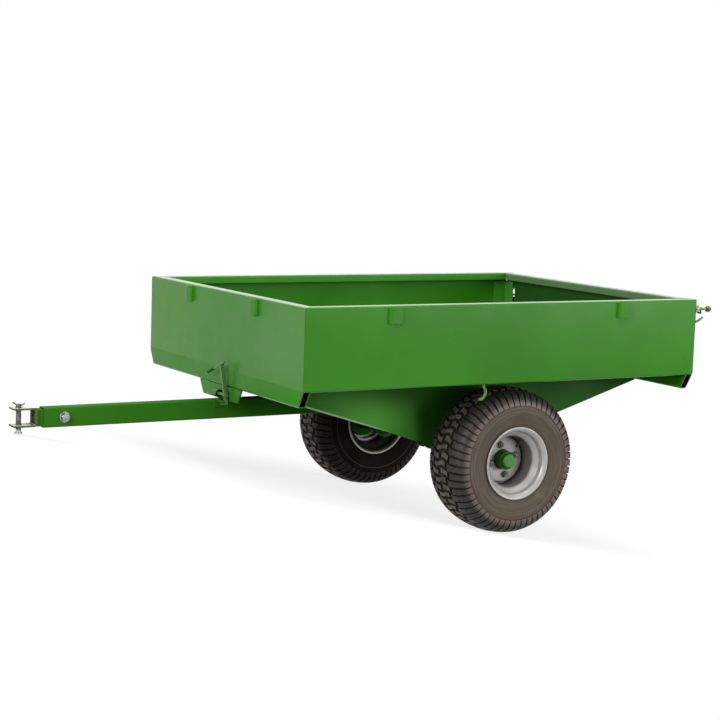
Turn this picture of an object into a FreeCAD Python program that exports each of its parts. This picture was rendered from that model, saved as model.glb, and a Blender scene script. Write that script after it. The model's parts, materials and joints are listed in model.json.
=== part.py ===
"""ATV tipping trailer: one drawbar, an open steel box, a drop tailgate and two turf wheels.

Everything is drawn in the towing pose: X runs forward to the hitch, Y to the trailer's left,
Z up from the ground, with the axle over X = 0. The whole trailer is then pitched about its axle
until the foot of the hitch pin stands on the ground, which is how it parks without a jack.
"""
import FreeCAD, Part
import math
import os
import re
import Sketcher
from FreeCAD import Placement, Rotation, Vector

SIZES = {
    # wheels: an 18 inch turf tyre on an 8 inch rim
    "tyre_radius": 228.5,
    "tyre_half": 97,
    "crown_half": 56,
    "crown_drop": 5.6,
    "crown_round": 282.8,
    "shoulder_round": 51.2,
    "bulge_level": 172.7,
    "bulge_round": 170.6,
    "tyre_bead": 101.8,
    "tyre_wall": 9,
    "half_track": 425.6,
    "rim_half": 93.5,
    "rim_edge": 114,
    "rim_gauge": 3.2,
    "seat_radius": 101.6,
    "well_radius": 83,
    "disc_face": 8,
    "disc_flat": 64,
    "disc_round": 11,
    "hub_hole": 31,
    "hub_nose": 38,
    "stud_circle": 48,
    "stud_turn": 77,
    "stud_radius": 6,
    # box: folded sheet with a rim round the top
    "box_length": 1438,
    "side_setback": 4,
    "front_reach": 772,
    "box_half": 536,
    "box_tall": 245,
    "base_level": 483,
    "skin": 2,
    "fold": 5,
    "rib_fold": 7,
    "rim_inward": 40,
    "rim_lip": 24,
    "hem": 30,
    # cross channels under both ends of the box
    "channel_tall": 48,
    "channel_deep": 25,
    "channel_wall": 3,
    "channel_slant": 28,
    # V-shaped webs that carry the box on the axle
    "web_half": 275,
    "web_gauge": 4,
    "web_fall": 0.307,
    "web_apex": 52,
    "web_hem": 21,
    "lobe_radius": 44,
    # axle
    "axle_radius": 25,
    "axle_wall": 5,
    "axle_half": 312,
    "sleeve_radius": 31,
    "sleeve_half": 25,
    "stub_radius": 15,
    "stub_reach": 453,
    "running_gap": 0.1,
    # drawbar
    "beam_tall": 60,
    "beam_wide": 40,
    "beam_wall": 3,
    "beam_corner": 5,
    "beam_level": 362,
    "beam_front": 1354,
    "beam_rear": 60,
    # clevis hitch
    "fork_front": 1446,
    "fork_back": 1375,
    "fork_half": 24,
    "fork_gauge": 6,
    "fork_tall": 57,
    "fork_level": 365.5,
    "shank_tall": 50,
    "shank_back": 1250,
    "pin_ahead": 1425.5,
    "pin_radius": 8,
    "pin_foot": 316,
    "pin_top": 404,
    "bolt_ahead": 1290,
    # tailgate
    "gate_half": 534,
    "gate_base": 487,
    "gate_rim_half": 490,
    "gate_slot": 489,
    "hook_level": 648,
    "hinge_x": -676,
    "hinge_z": 476,
    "hinge_at": 330,
    # stake pockets
    "pocket_half": 22,
    "pocket_out": 12,
    "pocket_wall": 4,
    "pocket_tall": 48,
    "pocket_side": 419,
    "pocket_front": 228,
    # tipping latch
    "latch_x": 783.6,
    "latch_z": 411,
    "lever_side": 60,
}

DOCUMENT = FreeCAD.newDocument("atv_trailer")
SHEET = DOCUMENT.addObject("Spreadsheet::Sheet", "sizes")
PIECES = {}
FUNCTIONS = ("sqrt", "sin", "cos", "tan", "abs")


def fill_sheet():
    """Write every driving dimension as a plain number with its name as the alias."""
    for row, (name, value) in enumerate(SIZES.items(), start=1):
        SHEET.set(f"A{row}", name)
        SHEET.set(f"B{row}", str(value))
        SHEET.setAlias(f"B{row}", name)
    DOCUMENT.recompute()


def bound(text):
    """Turn 'box_half - skin' into an expression on the sheet."""
    def reference(match):
        word = match.group(0)
        return word if word in FUNCTIONS else "sizes." + word
    return re.sub(r"[a-z]\w*", reference, str(text))


def value(text):
    """Present number of an expression on the sheet."""
    return float(SHEET.evalExpression(bound(text)))


def new_body(label, spot=("0", "0", "0"), turn=0):
    """Empty body; its own origin stands at spot in the towing pose, turned about Z."""
    body = DOCUMENT.addObject("PartDesign::Body", label)
    body.Label = label
    body.AllowCompound = True
    PIECES[label] = (body, spot, turn)
    return body


def keep(item, label, spot=("0", "0", "0"), turn=0):
    """Register a primitive or boolean as the sub-part called label."""
    item.Label = label
    PIECES[label] = (item, spot, turn)
    return item


def plane_of(body, role):
    return next(item for item in body.Origin.OriginFeatures if item.Role == role)


def new_sketch(body, role, offset="0"):
    sketch = body.newObject("Sketcher::SketchObject", body.Name + "_outline")
    sketch.AttachmentSupport = [(plane_of(body, role), "")]
    sketch.MapMode = "FlatFace"
    sketch.setExpression("AttachmentOffset.Base.z", bound(offset))
    return sketch


def pin_point(sketch, geometry, end, across, up):
    """Hold one point at two expressions, measured from the sketch's origin."""
    for kind, text in (("DistanceX", across), ("DistanceY", up)):
        rule = Sketcher.Constraint(kind, -1, 1, geometry, end, value(text))
        sketch.setExpression(f"Constraints[{sketch.addConstraint(rule)}]", bound(text))


def arc_between(start, finish, radius):
    """Arc whose centre lies left of the way from start to finish if radius is positive."""
    chord = finish - start
    left = Vector(-chord.y, chord.x, 0).normalize()
    rise = math.sqrt(radius ** 2 - (chord.Length / 2) ** 2)
    side = 1 if radius > 0 else -1
    centre = (start + finish) / 2 + left * rise * side
    middle = centre - left * side * abs(radius)
    return Part.Arc(start, middle, finish)


def add_loop(sketch, corners):
    """Closed loop through corners (across, up[, radius of the arc that leaves the corner])."""
    points = [Vector(value(corner[0]), value(corner[1]), 0) for corner in corners]
    ends = []
    for index, corner in enumerate(corners):
        start = points[index]
        finish = points[(index + 1) % len(points)]
        if len(corner) == 3:
            edge = sketch.addGeometry(arc_between(start, finish, value(corner[2])))
            radius_text = corner[2].lstrip("-")
            rule = Sketcher.Constraint("Radius", edge, value(radius_text))
            number = sketch.addConstraint(rule)
            sketch.setExpression(f"Constraints[{number}]", bound(radius_text))
        else:
            edge = sketch.addGeometry(Part.LineSegment(start, finish))
        first = 1 if (sketch.getPoint(edge, 1) - start).Length < 1e-6 else 2
        ends.append((edge, first, 3 - first))
    for index, (edge, first, last) in enumerate(ends):
        following, following_first, _ = ends[(index + 1) % len(ends)]
        sketch.addConstraint(Sketcher.Constraint("Coincident", edge, last, following, following_first))
        pin_point(sketch, edge, first, corners[index][0], corners[index][1])


def add_circle(sketch, across, up, radius):
    centre = Vector(value(across), value(up), 0)
    edge = sketch.addGeometry(Part.Circle(centre, Vector(0, 0, 1), value(radius)))
    pin_point(sketch, edge, 3, across, up)
    rule = Sketcher.Constraint("Radius", edge, value(radius))
    sketch.setExpression(f"Constraints[{sketch.addConstraint(rule)}]", bound(radius))


def draw(body, role, loops, offset="0"):
    """Sketch of loops on one origin plane; a loop of three strings is a circle."""
    sketch = new_sketch(body, role, offset)
    for loop in loops:
        if isinstance(loop, tuple):
            add_circle(sketch, *loop)
        else:
            add_loop(sketch, loop)
    return sketch


def pad(body, role, loops, length, offset="0"):
    """Pad centred on the offset plane."""
    feature = body.newObject("PartDesign::Pad", body.Name + "_pad")
    feature.Profile = (draw(body, role, loops, offset), [""])
    feature.SideType = "Symmetric"
    feature.setExpression("Length", bound(length))
    return feature


def slanted(feature, direction):
    """Let a pad run one way from its sketch, along a direction that is not the sketch's normal."""
    feature.SideType = "One side"
    feature.UseCustomVector = True
    feature.Direction = direction
    feature.AlongSketchNormal = False


def pocket(body, role, loops, length=None, offset="0"):
    """Pocket centred on the offset plane, through everything when no length is given."""
    feature = body.newObject("PartDesign::Pocket", body.Name + "_cut")
    feature.Profile = (draw(body, role, loops, offset), [""])
    feature.SideType = "Symmetric"
    if length is None:
        feature.Type = "ThroughAll"
    else:
        feature.setExpression("Length", bound(length))
    return feature


def turned(body, corners):
    """Solid of revolution about the body's Y axis, from an outline on its YZ plane."""
    feature = body.newObject("PartDesign::Revolution", body.Name + "_turned")
    sketch = draw(body, "YZ_Plane", [corners])
    feature.Profile = (sketch, [""])
    feature.ReferenceAxis = (sketch, ["H_Axis"])
    feature.Angle = 360
    return feature


def mirrored(body, features, role="XZ_Plane"):
    feature = body.newObject("PartDesign::Mirrored", body.Name + "_mirrored")
    feature.Originals = features
    feature.MirrorPlane = (plane_of(body, role), [""])
    body.Tip = feature
    return feature


def both_mirrored(body, features):
    """The features on all four quarters about the body's own X and Y axes."""
    pattern = body.newObject("PartDesign::MultiTransform", body.Name + "_quarters")
    across = DOCUMENT.addObject("PartDesign::Mirrored", body.Name + "_across")
    along = DOCUMENT.addObject("PartDesign::Mirrored", body.Name + "_along")
    across.MirrorPlane = (plane_of(body, "XZ_Plane"), [""])
    along.MirrorPlane = (plane_of(body, "YZ_Plane"), [""])
    pattern.Originals = features
    pattern.Transformations = [across, along]
    body.Tip = pattern
    return pattern


def ringed(body, features, count):
    """Polar pattern about the body's Y axis."""
    feature = body.newObject("PartDesign::PolarPattern", body.Name + "_ring")
    feature.Originals = features
    feature.Axis = (plane_of(body, "Y_Axis"), [""])
    feature.Angle = 360
    feature.Occurrences = count
    body.Tip = feature
    return feature


def rectangle(low_across, high_across, low_up, high_up):
    return [(low_across, low_up), (high_across, low_up), (high_across, high_up), (low_across, high_up)]


def rounded(half_across, half_up, middle_up, radius):
    """Rectangle about the vertical centre line with round corners."""
    low, high = f"{middle_up} - {half_up}", f"{middle_up} + {half_up}"
    return [
        (f"-{half_across} + {radius}", low), (f"{half_across} - {radius}", low, radius),
        (half_across, f"{low} + {radius}"), (half_across, f"{high} - {radius}", radius),
        (f"{half_across} - {radius}", high), (f"-{half_across} + {radius}", high, radius),
        (f"-{half_across}", f"{high} - {radius}"), (f"-{half_across}", f"{low} + {radius}", radius),
    ]


# ---------------------------------------------------------------- chassis

def make_drawbar():
    beam = new_body("drawbar_tube")
    inner_half = "(beam_wide / 2 - beam_wall)"
    section = [
        rounded("(beam_wide / 2)", "(beam_tall / 2)", "beam_level", "beam_corner"),
        rounded(inner_half, "(beam_tall / 2 - beam_wall)", "beam_level", "(beam_corner - beam_wall)"),
    ]
    pad(beam, "YZ_Plane", section, "beam_front + beam_rear", "(beam_front - beam_rear) / 2")
    pocket(beam, "XZ_Plane", [("bolt_ahead", "beam_level", "pin_radius + 0.3")])


def make_axle():
    tube = new_body("axle_tube", spot=("0", "0", "tyre_radius"))
    ring = [("0", "0", "axle_radius"), ("0", "0", "axle_radius - axle_wall")]
    pad(tube, "XZ_Plane", ring, "2 * axle_half")

    stubs = new_body("stub_axles", spot=("0", "0", "tyre_radius"))
    socket = "axle_radius - axle_wall"
    left = turned(stubs, [
        ("axle_half - 50", "0"), ("stub_reach", "0"), ("stub_reach", "stub_radius - 2"),
        ("stub_reach - 2", "stub_radius"), ("axle_half + 12", "stub_radius"),
        ("axle_half + 8", "axle_radius"), ("axle_half", "axle_radius"),
        ("axle_half", socket), ("axle_half - 50", socket),
    ])
    mirrored(stubs, [left])

    brackets = new_body("drawbar_axle_brackets")
    plate = [
        ("-beam_rear", "beam_level + 24"), ("-36", "tyre_radius"), ("36", "tyre_radius"),
        ("150", "beam_level - 26"), ("150", "beam_level + 24"),
    ]
    middle = "-(beam_wide / 2 + 3)"
    cheek = pad(brackets, "XZ_Plane", [plate], "6", middle)
    eye = pad(brackets, "XZ_Plane", [("0", "tyre_radius", "36")], "6", middle)
    bore = pocket(brackets, "XZ_Plane", [("0", "tyre_radius", "axle_radius")], "6", middle)
    mirrored(brackets, [cheek, eye, bore])


def make_clevis():
    shank = new_body("clevis_shank")
    half = "(beam_wide / 2 - beam_wall - 0.4)"
    section = [
        rectangle(f"-{half}", half, "beam_level - shank_tall / 2", "beam_level + shank_tall / 2"),
        rectangle(f"-({half} - 6)", f"{half} - 6", "beam_level - shank_tall / 2 + 6",
                  "beam_level + shank_tall / 2 - 6"),
    ]
    pad(shank, "YZ_Plane", section, "fork_back - shank_back", "(fork_back + shank_back) / 2")
    pocket(shank, "XZ_Plane", [("bolt_ahead", "beam_level", "pin_radius + 0.3")])

    fork = new_body("clevis_bracket")
    low, high = "fork_level - fork_tall / 2", "fork_level + fork_tall / 2"
    outline = [
        ("fork_back + 10", low), ("fork_front", low), ("fork_front", f"{low} + fork_gauge"),
        ("fork_back + 10", f"{low} + fork_gauge", "-(10 - fork_gauge)"),
        ("fork_back + fork_gauge", f"{low} + 10"),
        ("fork_back + fork_gauge", f"{high} - 10", "-(10 - fork_gauge)"),
        ("fork_back + 10", f"{high} - fork_gauge"), ("fork_front", f"{high} - fork_gauge"),
        ("fork_front", high), ("fork_back + 10", high, "10"),
        ("fork_back", f"{high} - 10"), ("fork_back", f"{low} + 10", "10"),
    ]
    pad(fork, "XZ_Plane", [outline], "2 * fork_half")
    pocket(fork, "XY_Plane", [("pin_ahead", "0", "pin_radius + running_gap")])

    bolt = new_body("clevis_bolt", spot=("bolt_ahead", "0", "beam_level"))
    side = "(beam_wide / 2)"
    turned(bolt, [
        (f"-{side} - 16", "0"), (f"{side} + 4", "0"), (f"{side} + 4", "16.5"), (f"{side}", "16.5"),
        (f"{side}", "pin_radius"), (f"-{side}", "pin_radius"), (f"-{side}", "16.5"),
        (f"-{side} - 3", "16.5"), (f"-{side} - 3", "pin_radius"), (f"-{side} - 16", "pin_radius"),
    ])
    for centre, thick in ((f"-({side} + 9)", "10"), (f"{side} + 9", "12")):
        pad(bolt, "XZ_Plane", [hexagon("12")], thick, centre)

    pin = new_body("hitch_pin", spot=("pin_ahead", "0", "0"))
    pad(pin, "XY_Plane", [("0", "0", "pin_radius")], "pin_top - pin_foot", "(pin_top + pin_foot) / 2")
    pad(pin, "XY_Plane", [("0", "0", "pin_radius + 4")], "5", "pin_foot + 2.5")
    pocket(pin, "XZ_Plane", [("0", "fork_level + fork_tall / 2 + 5", "2.1")])


def hexagon(half_flats):
    """Hexagon round the sketch's origin with two flats level."""
    corner = f"({half_flats} / sqrt(0.75))"
    return [
        (corner, "0"), (f"{corner} / 2", half_flats), (f"-{corner} / 2", half_flats),
        (f"-{corner}", "0"), (f"-{corner} / 2", f"-{half_flats}"), (f"{corner} / 2", f"-{half_flats}"),
    ]


def rod_through(points, radius):
    """Round rod along straight legs, with a ball filling each bend."""
    solid = None
    for start, finish in zip(points, points[1:]):
        leg = Part.makeCylinder(radius, (finish - start).Length, start, finish - start)
        solid = leg if solid is None else solid.fuse(leg)
    for corner in points[1:-1]:
        solid = solid.fuse(Part.makeSphere(radius, corner))
    return solid.removeSplitter()


def make_pin_clip():
    """Split pin across the top of the hitch pin, its two ends spread upwards."""
    route = [Vector(-14, 14, 9), Vector(0, 12, 0), Vector(0, -12, 0), Vector(13, -14, 9)]
    clip = DOCUMENT.addObject("Part::Feature", "hitch_pin_clip")
    clip.Shape = rod_through(route, 2)
    keep(clip, "hitch_pin_clip", spot=("pin_ahead", "0", "fork_level + fork_tall / 2 + 5"))


def make_latch_catch():
    catch = new_body("latch_catch")
    foot = "beam_wide / 2"
    pad(catch, "XZ_Plane", [rectangle("latch_x - 4", "latch_x + 20", "latch_z - 40", "latch_z - 14")],
        "4", f"-({foot} + 2)")
    pad(catch, "XZ_Plane", [("latch_x + 9.5", "latch_z - 20", "4")], "48", f"-({foot} + 24)")


# ---------------------------------------------------------------- box

def mirror_loop(loop):
    """The same outline on the other side of the vertical axis."""
    turned_over = []
    for corner in loop:
        across, up = f"-({corner[0]})", corner[1]
        if len(corner) == 2:
            turned_over.append((across, up))
        elif corner[2].startswith("-"):
            turned_over.append((across, up, corner[2][1:]))
        else:
            turned_over.append((across, up, "-" + corner[2]))
    return turned_over


def folded_section(outer):
    """Sheet with a top rim, its lip and a bottom hem, all folded towards the middle of the box."""
    top, base = "(base_level + box_tall)", "base_level"
    rim, gap = f"({outer} - rim_inward)", "(fold - skin)"
    return [
        (outer, f"{base} + fold"), (outer, f"{top} - fold", "fold"),
        (f"{outer} - fold", top), (f"{rim} + fold", top, "fold"),
        (rim, f"{top} - fold"), (rim, f"{top} - rim_lip"),
        (f"{rim} + skin", f"{top} - rim_lip"), (f"{rim} + skin", f"{top} - fold", f"-{gap}"),
        (f"{rim} + fold", f"{top} - skin"), (f"{outer} - fold", f"{top} - skin", f"-{gap}"),
        (f"{outer} - skin", f"{top} - fold"), (f"{outer} - skin", f"{base} + fold", f"-{gap}"),
        (f"{outer} - fold", f"{base} + skin"), (f"{outer} - hem", f"{base} + skin"),
        (f"{outer} - hem", base), (f"{outer} - fold", base, "fold"),
    ]


def mitre(side, beyond):
    """Triangle past the 45 degree line through a front corner of the box."""
    outer = f"{side} * (box_half + 1)"
    inner = f"{side} * (box_half - 61)"
    third = ("front_reach + 1", inner) if beyond == "side" else ("front_reach - 61", outer)
    return [("front_reach + 1", outer), ("front_reach - 61", inner), third]


def make_walls():
    front = new_body("front_panel")
    pad(front, "XZ_Plane", [folded_section("front_reach")], "2 * box_half")
    pocket(front, "XY_Plane", [mitre("1", "front")])
    pocket(front, "XY_Plane", [mitre("-1", "front")])
    section = folded_section("box_half")
    length = "(box_length - side_setback)"
    sides = (("left_side_panel", "1", section), ("right_side_panel", "-1", mirror_loop(section)))
    for name, side, outline in sides:
        wall = new_body(name)
        pad(wall, "YZ_Plane", [outline], length, f"front_reach - {length} / 2")
        pocket(wall, "XY_Plane", [mitre(side, "side")])
    make_floor()


def make_floor():
    floor = DOCUMENT.addObject("Part::Box", "load_floor")
    floor.setExpression("Length", bound("box_length - side_setback - fold"))
    floor.setExpression("Width", bound("2 * (box_half - fold)"))
    floor.setExpression("Height", bound("skin"))
    keep(floor, "load_floor",
         spot=("front_reach - box_length + side_setback", "-(box_half - fold)", "base_level + skin"))


def channel_section(rear, front):
    low, wall, gap = "(base_level - channel_tall)", "channel_wall", "(rib_fold - channel_wall)"
    return [
        (front, "base_level"), (f"{front} - {wall}", "base_level"),
        (f"{front} - {wall}", f"{low} + rib_fold", f"-{gap}"), (f"{front} - rib_fold", f"{low} + {wall}"),
        (f"{rear} + rib_fold", f"{low} + {wall}", f"-{gap}"), (f"{rear} + {wall}", f"{low} + rib_fold"),
        (f"{rear} + {wall}", "base_level"), (rear, "base_level"),
        (rear, f"{low} + rib_fold", "rib_fold"), (f"{rear} + rib_fold", low),
        (f"{front} - rib_fold", low, "rib_fold"), (front, f"{low} + rib_fold"),
    ]


def make_channels():
    ends = {
        "front_cross_channel": ("front_reach - channel_deep", "front_reach"),
        "rear_cross_channel": ("front_reach - box_length + side_setback",
                               "front_reach - box_length + side_setback + channel_deep"),
    }
    for name, (rear, front) in ends.items():
        channel = new_body(name)
        pad(channel, "XZ_Plane", [channel_section(rear, front)], "2 * box_half")
        for side in ("1", "-1"):
            tail = [
                (f"{side} * (box_half + channel_slant)", "base_level + channel_tall"),
                (f"{side} * (box_half - 2 * channel_slant)", "base_level - 2 * channel_tall"),
                (f"{side} * (box_half + channel_slant)", "base_level - 2 * channel_tall"),
            ]
            pocket(channel, "YZ_Plane", [tail])


def web_edge(ahead):
    """Height of a web's lower edge at a place ahead of or behind its apex."""
    run = f"(front_reach - channel_deep - web_apex - abs({ahead} - web_apex))"
    return f"(base_level - channel_tall - web_fall * {run})"


def make_webs():
    rear, front = "front_reach - box_length + side_setback + channel_deep", "front_reach - channel_deep"
    top, eave = "base_level + skin", "base_level - channel_tall"
    rear_eave = web_edge(f"({rear})")
    for name, side in (("left_web_plate", "-1"), ("right_web_plate", "1")):
        web = new_body(name)
        middle = f"{side} * (web_half - web_gauge / 2)"
        outline = [
            (rear, top), (rear, rear_eave), ("web_apex", web_edge("web_apex")), (front, eave),
            (front, "base_level"), ("front_reach - hem", "base_level"), ("front_reach - hem", top),
        ]
        pad(web, "XZ_Plane", [outline], "web_gauge", middle)
        pad(web, "XZ_Plane", [("0", "tyre_radius", "lobe_radius")], "web_gauge", middle)
        pocket(web, "XZ_Plane", [("0", "tyre_radius", "sleeve_radius")])
        hem_middle = f"{side} * (web_half - web_gauge - web_hem / 2)"
        behind = ("(-lobe_radius - 16)", f"({rear} + 12)")
        ahead = ("(lobe_radius + 16)", f"({front} - 12)")
        for first, last in (behind, ahead):
            band = [
                (first, web_edge(first)), (last, web_edge(last)),
                (last, f"{web_edge(last)} + web_gauge"), (first, f"{web_edge(first)} + web_gauge"),
            ]
            pad(web, "XZ_Plane", [band], "web_hem", hem_middle)

    sleeves = new_body("axle_pivot_sleeves", spot=("0", "0", "tyre_radius"))
    ring = [("0", "0", "sleeve_radius"), ("0", "0", "axle_radius + running_gap")]
    left = pad(sleeves, "XZ_Plane", ring, "2 * sleeve_half", "-web_half")
    mirrored(sleeves, [left])


def make_posts():
    posts = new_body("rear_corner_posts")
    rear = "(front_reach - box_length)"
    wall, near, far = "(box_half - skin)", f"{rear} + 7", f"{rear} + 59"
    angle = [
        (near, f"{wall} - 50"), (f"{near} + 4", f"{wall} - 50"), (f"{near} + 4", f"{wall} - 4"),
        (far, f"{wall} - 4"), (far, wall), (near, wall),
    ]
    left = pad(posts, "XY_Plane", [angle], "box_tall - rim_lip - 13",
               "base_level + fold + 1 + (box_tall - rim_lip - 13) / 2")
    mirrored(posts, [left])


def pocket_strap(outward):
    """Outline of a strap bent round a stake, seen from above; outward is the face it stands on."""
    wall, reach, gap = "pocket_wall", f"({outward} + pocket_out)", "(rib_fold - pocket_wall)"
    edge = "pocket_half"
    return [
        (f"-{edge}", outward), (f"-{edge} + {wall}", outward),
        (f"-{edge} + {wall}", f"{reach} - rib_fold", f"-{gap}"), (f"-{edge} + rib_fold", f"{reach} - {wall}"),
        (f"{edge} - rib_fold", f"{reach} - {wall}", f"-{gap}"), (f"{edge} - {wall}", f"{reach} - rib_fold"),
        (f"{edge} - {wall}", outward), (edge, outward),
        (edge, f"{reach} - rib_fold", "rib_fold"), (f"{edge} - rib_fold", reach),
        (f"-{edge} + rib_fold", reach, "rib_fold"), (f"-{edge}", f"{reach} - rib_fold"),
    ]


def make_pockets():
    """Two straps high on each side and two on the front, open at top and bottom."""
    straps = new_body("stake_pockets", spot=("front_reach - box_length / 2", "0", "0"))
    height = "base_level + box_tall - 4 - pocket_tall / 2"
    on_side = [(f"{across} + pocket_side", up, *bend) for across, up, *bend in pocket_strap("box_half")]
    corner = pad(straps, "XY_Plane", [on_side], "pocket_tall", height)
    both_mirrored(straps, [corner])
    on_front = [
        (up, f"-({across}) - pocket_front", *bend) for across, up, *bend in pocket_strap("(box_length / 2)")
    ]
    first = pad(straps, "XY_Plane", [on_front], "pocket_tall", height)
    mirrored(straps, [first])


def make_rope_hooks():
    """Rod under each side of the box, bent back, down and forward to an open tip."""
    curve = Part.BSplineCurve()
    route = [Vector(0, 0, 0), Vector(-7, 0, -16), Vector(-7, 0, -32), Vector(2, 0, -43), Vector(15, 0, -45)]
    curve.interpolate(Points=route, InitialTangent=Vector(0, 0, -1), FinalTangent=Vector(1, 0, 0.15))
    section = Part.Wire([Part.Circle(route[0], Vector(0, 0, 1), 4.5).toShape()])
    hook = Part.Wire([curve.toShape()]).makePipeShell([section], True, True)
    reach = value("box_half") - 6
    hooks = DOCUMENT.addObject("Part::Feature", "rope_hooks")
    hooks.Shape = Part.makeCompound([hook.translated(Vector(0, side * reach, 0)) for side in (1, -1)])
    keep(hooks, "rope_hooks", spot=("148", "0", "base_level"))


def make_latch():
    beam_top = "(beam_level + beam_tall / 2)"
    plate = new_body("latch_plate")
    under = "base_level - channel_tall"
    outline = [("-150", under), ("-123", f"{beam_top} + 0.6"), ("115", f"{beam_top} + 0.6"), ("142", under)]
    pad(plate, "YZ_Plane", [outline], "6", "front_reach - 4.5")

    barrel = new_body("latch_barrel")
    foot = rectangle("front_reach - 1.5", "latch_x", "latch_z - 9", "latch_z + 9")
    pad(barrel, "XZ_Plane", [foot], "30", "1")
    pad(barrel, "XZ_Plane", [("latch_x", "latch_z", "11.3")], "30", "1")
    pocket(barrel, "XZ_Plane", [("latch_x", "latch_z", "5 + running_gap")])
    pocket(barrel, "XZ_Plane", [("latch_x", "latch_z", "8.5")], "8", "-11")

    bolt = new_body("latch_pivot_bolt", spot=("latch_x", "0", "latch_z"))
    pad(bolt, "XZ_Plane", [("0", "0", "5")], "90", "-22")
    pad(bolt, "XZ_Plane", [hexagon("8")], "6", "19")
    pad(bolt, "XZ_Plane", [("0", "0", "7.5")], "3", "-65.5")

    lever = new_body("latch_lever", spot=("latch_x", "lever_side", "latch_z"))
    hook = [("-8", "-29.5"), ("14.5", "-29.5"), ("14.5", "-25"), ("4.5", "-25"), ("4.5", "0"), ("-8", "0")]
    pad(lever, "XZ_Plane", [hook], "8")
    pad(lever, "XZ_Plane", [("0", "0", "8.6")], "8")
    pad(lever, "XZ_Plane", [[("-7.5", "0"), ("5.2", "0"), ("21.4", "97"), ("8.7", "97")]], "8")
    pocket(lever, "XZ_Plane", [("0", "0", "5 + running_gap")])
    handle = pad(lever, "XZ_Plane", [("15", "104.5", "3.2")], "120", "-18")
    slanted(handle, Vector(0, -0.932, -0.363))


# ---------------------------------------------------------------- tailgate

def make_tailgate():
    """Flat sheet behind the box with a folded rim between the side rims and a slot at each end."""
    gate = new_body("tailgate_panel")
    rear, face = "(front_reach - box_length)", "(front_reach - box_length + skin)"
    top, gap, rim = "(base_level + box_tall)", "(fold - skin)", "(front_reach - box_length + rim_inward)"
    pad(gate, "XZ_Plane", [rectangle(rear, face, "gate_base", f"{top} - fold")], "2 * gate_half")
    folded = [
        (rear, f"{top} - fold"), (face, f"{top} - fold", f"-{gap}"), (f"{rear} + fold", f"{top} - skin"),
        (f"{rim} - fold", f"{top} - skin", f"-{gap}"), (f"{rim} - skin", f"{top} - fold"),
        (f"{rim} - skin", f"{top} - rim_lip"), (rim, f"{top} - rim_lip"), (rim, f"{top} - fold", "fold"),
        (f"{rim} - fold", top), (f"{rear} + fold", top, "fold"),
    ]
    pad(gate, "XZ_Plane", [folded], "2 * gate_rim_half")
    ear_width = "(gate_half - gate_rim_half)"
    ears = pad(gate, "XZ_Plane", [rectangle(rear, face, f"{top} - fold", top)], ear_width,
               f"-(gate_rim_half + {ear_width} / 2)")
    slot = rectangle("gate_slot - 8", "gate_slot + 8", "hook_level - 7", "hook_level + 33")
    opening = pocket(gate, "YZ_Plane", [slot], "10", rear)
    mirrored(gate, [ears, opening])


def make_hinges():
    rear = "(front_reach - box_length)"
    leaves = new_body("tailgate_hinge_leaves")
    leaf = rectangle(f"{rear} - 3", rear, "hinge_z", "hinge_z + 60")
    parts = [
        pad(leaves, "XZ_Plane", [leaf], "40", "-hinge_at"),
        pad(leaves, "XZ_Plane", [("hinge_x", "hinge_z", "8")], "40", "-hinge_at"),
        pocket(leaves, "XZ_Plane", [("hinge_x", "hinge_z", "4 + running_gap")], "40", "-hinge_at"),
    ]
    mirrored(leaves, parts)

    brackets = new_body("tailgate_hinge_brackets")
    parts = []
    for centre in ("-(hinge_at - 33.5)", "-(hinge_at + 33.5)"):
        tongue = rectangle("hinge_x", f"{rear} + side_setback", "hinge_z - 8", "hinge_z - 2")
        parts.append(pad(brackets, "XZ_Plane", [tongue], "25", centre))
        parts.append(pad(brackets, "XZ_Plane", [("hinge_x", "hinge_z", "8")], "25", centre))
        parts.append(pocket(brackets, "XZ_Plane", [("hinge_x", "hinge_z", "4")], "25", centre))
    mirrored(brackets, parts)

    pins = new_body("tailgate_hinge_pins")
    shaft = pad(pins, "XZ_Plane", [("hinge_x", "hinge_z", "4")], "96", "-hinge_at")
    mirrored(pins, [shaft])


def make_gate_hooks():
    """Round rods from the rear posts, out through the tailgate's slots and up to a tip."""
    rear = value("front_reach - box_length")
    level = value("hook_level")
    reach = value("gate_slot")
    route = [
        Vector(rear + 7, reach, level), Vector(rear - 34, reach, level), Vector(rear - 50, reach, level + 5),
        Vector(rear - 61, reach, level + 11.5), Vector(rear - 67, reach, level + 16.5),
    ]
    left = rod_through(route, 4)
    right = left.mirror(Vector(0, 0, 0), Vector(0, 1, 0))
    hooks = DOCUMENT.addObject("Part::Feature", "tailgate_hooks")
    hooks.Shape = Part.makeCompound([left, right])
    keep(hooks, "tailgate_hooks")


def lever_cheek(rear, low):
    """Ear beside a slot of the tailgate; low is the Y of its lower face."""
    outline = [(0, 667), (-12, 667), (-41, 686), (-42, 698), (-36, 704), (0, 704)]
    corners = [Vector(rear + ahead, low, up) for ahead, up in outline]
    return Part.Face(Part.makePolygon(corners + corners[:1])).extrude(Vector(0, 4, 0))


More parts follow.
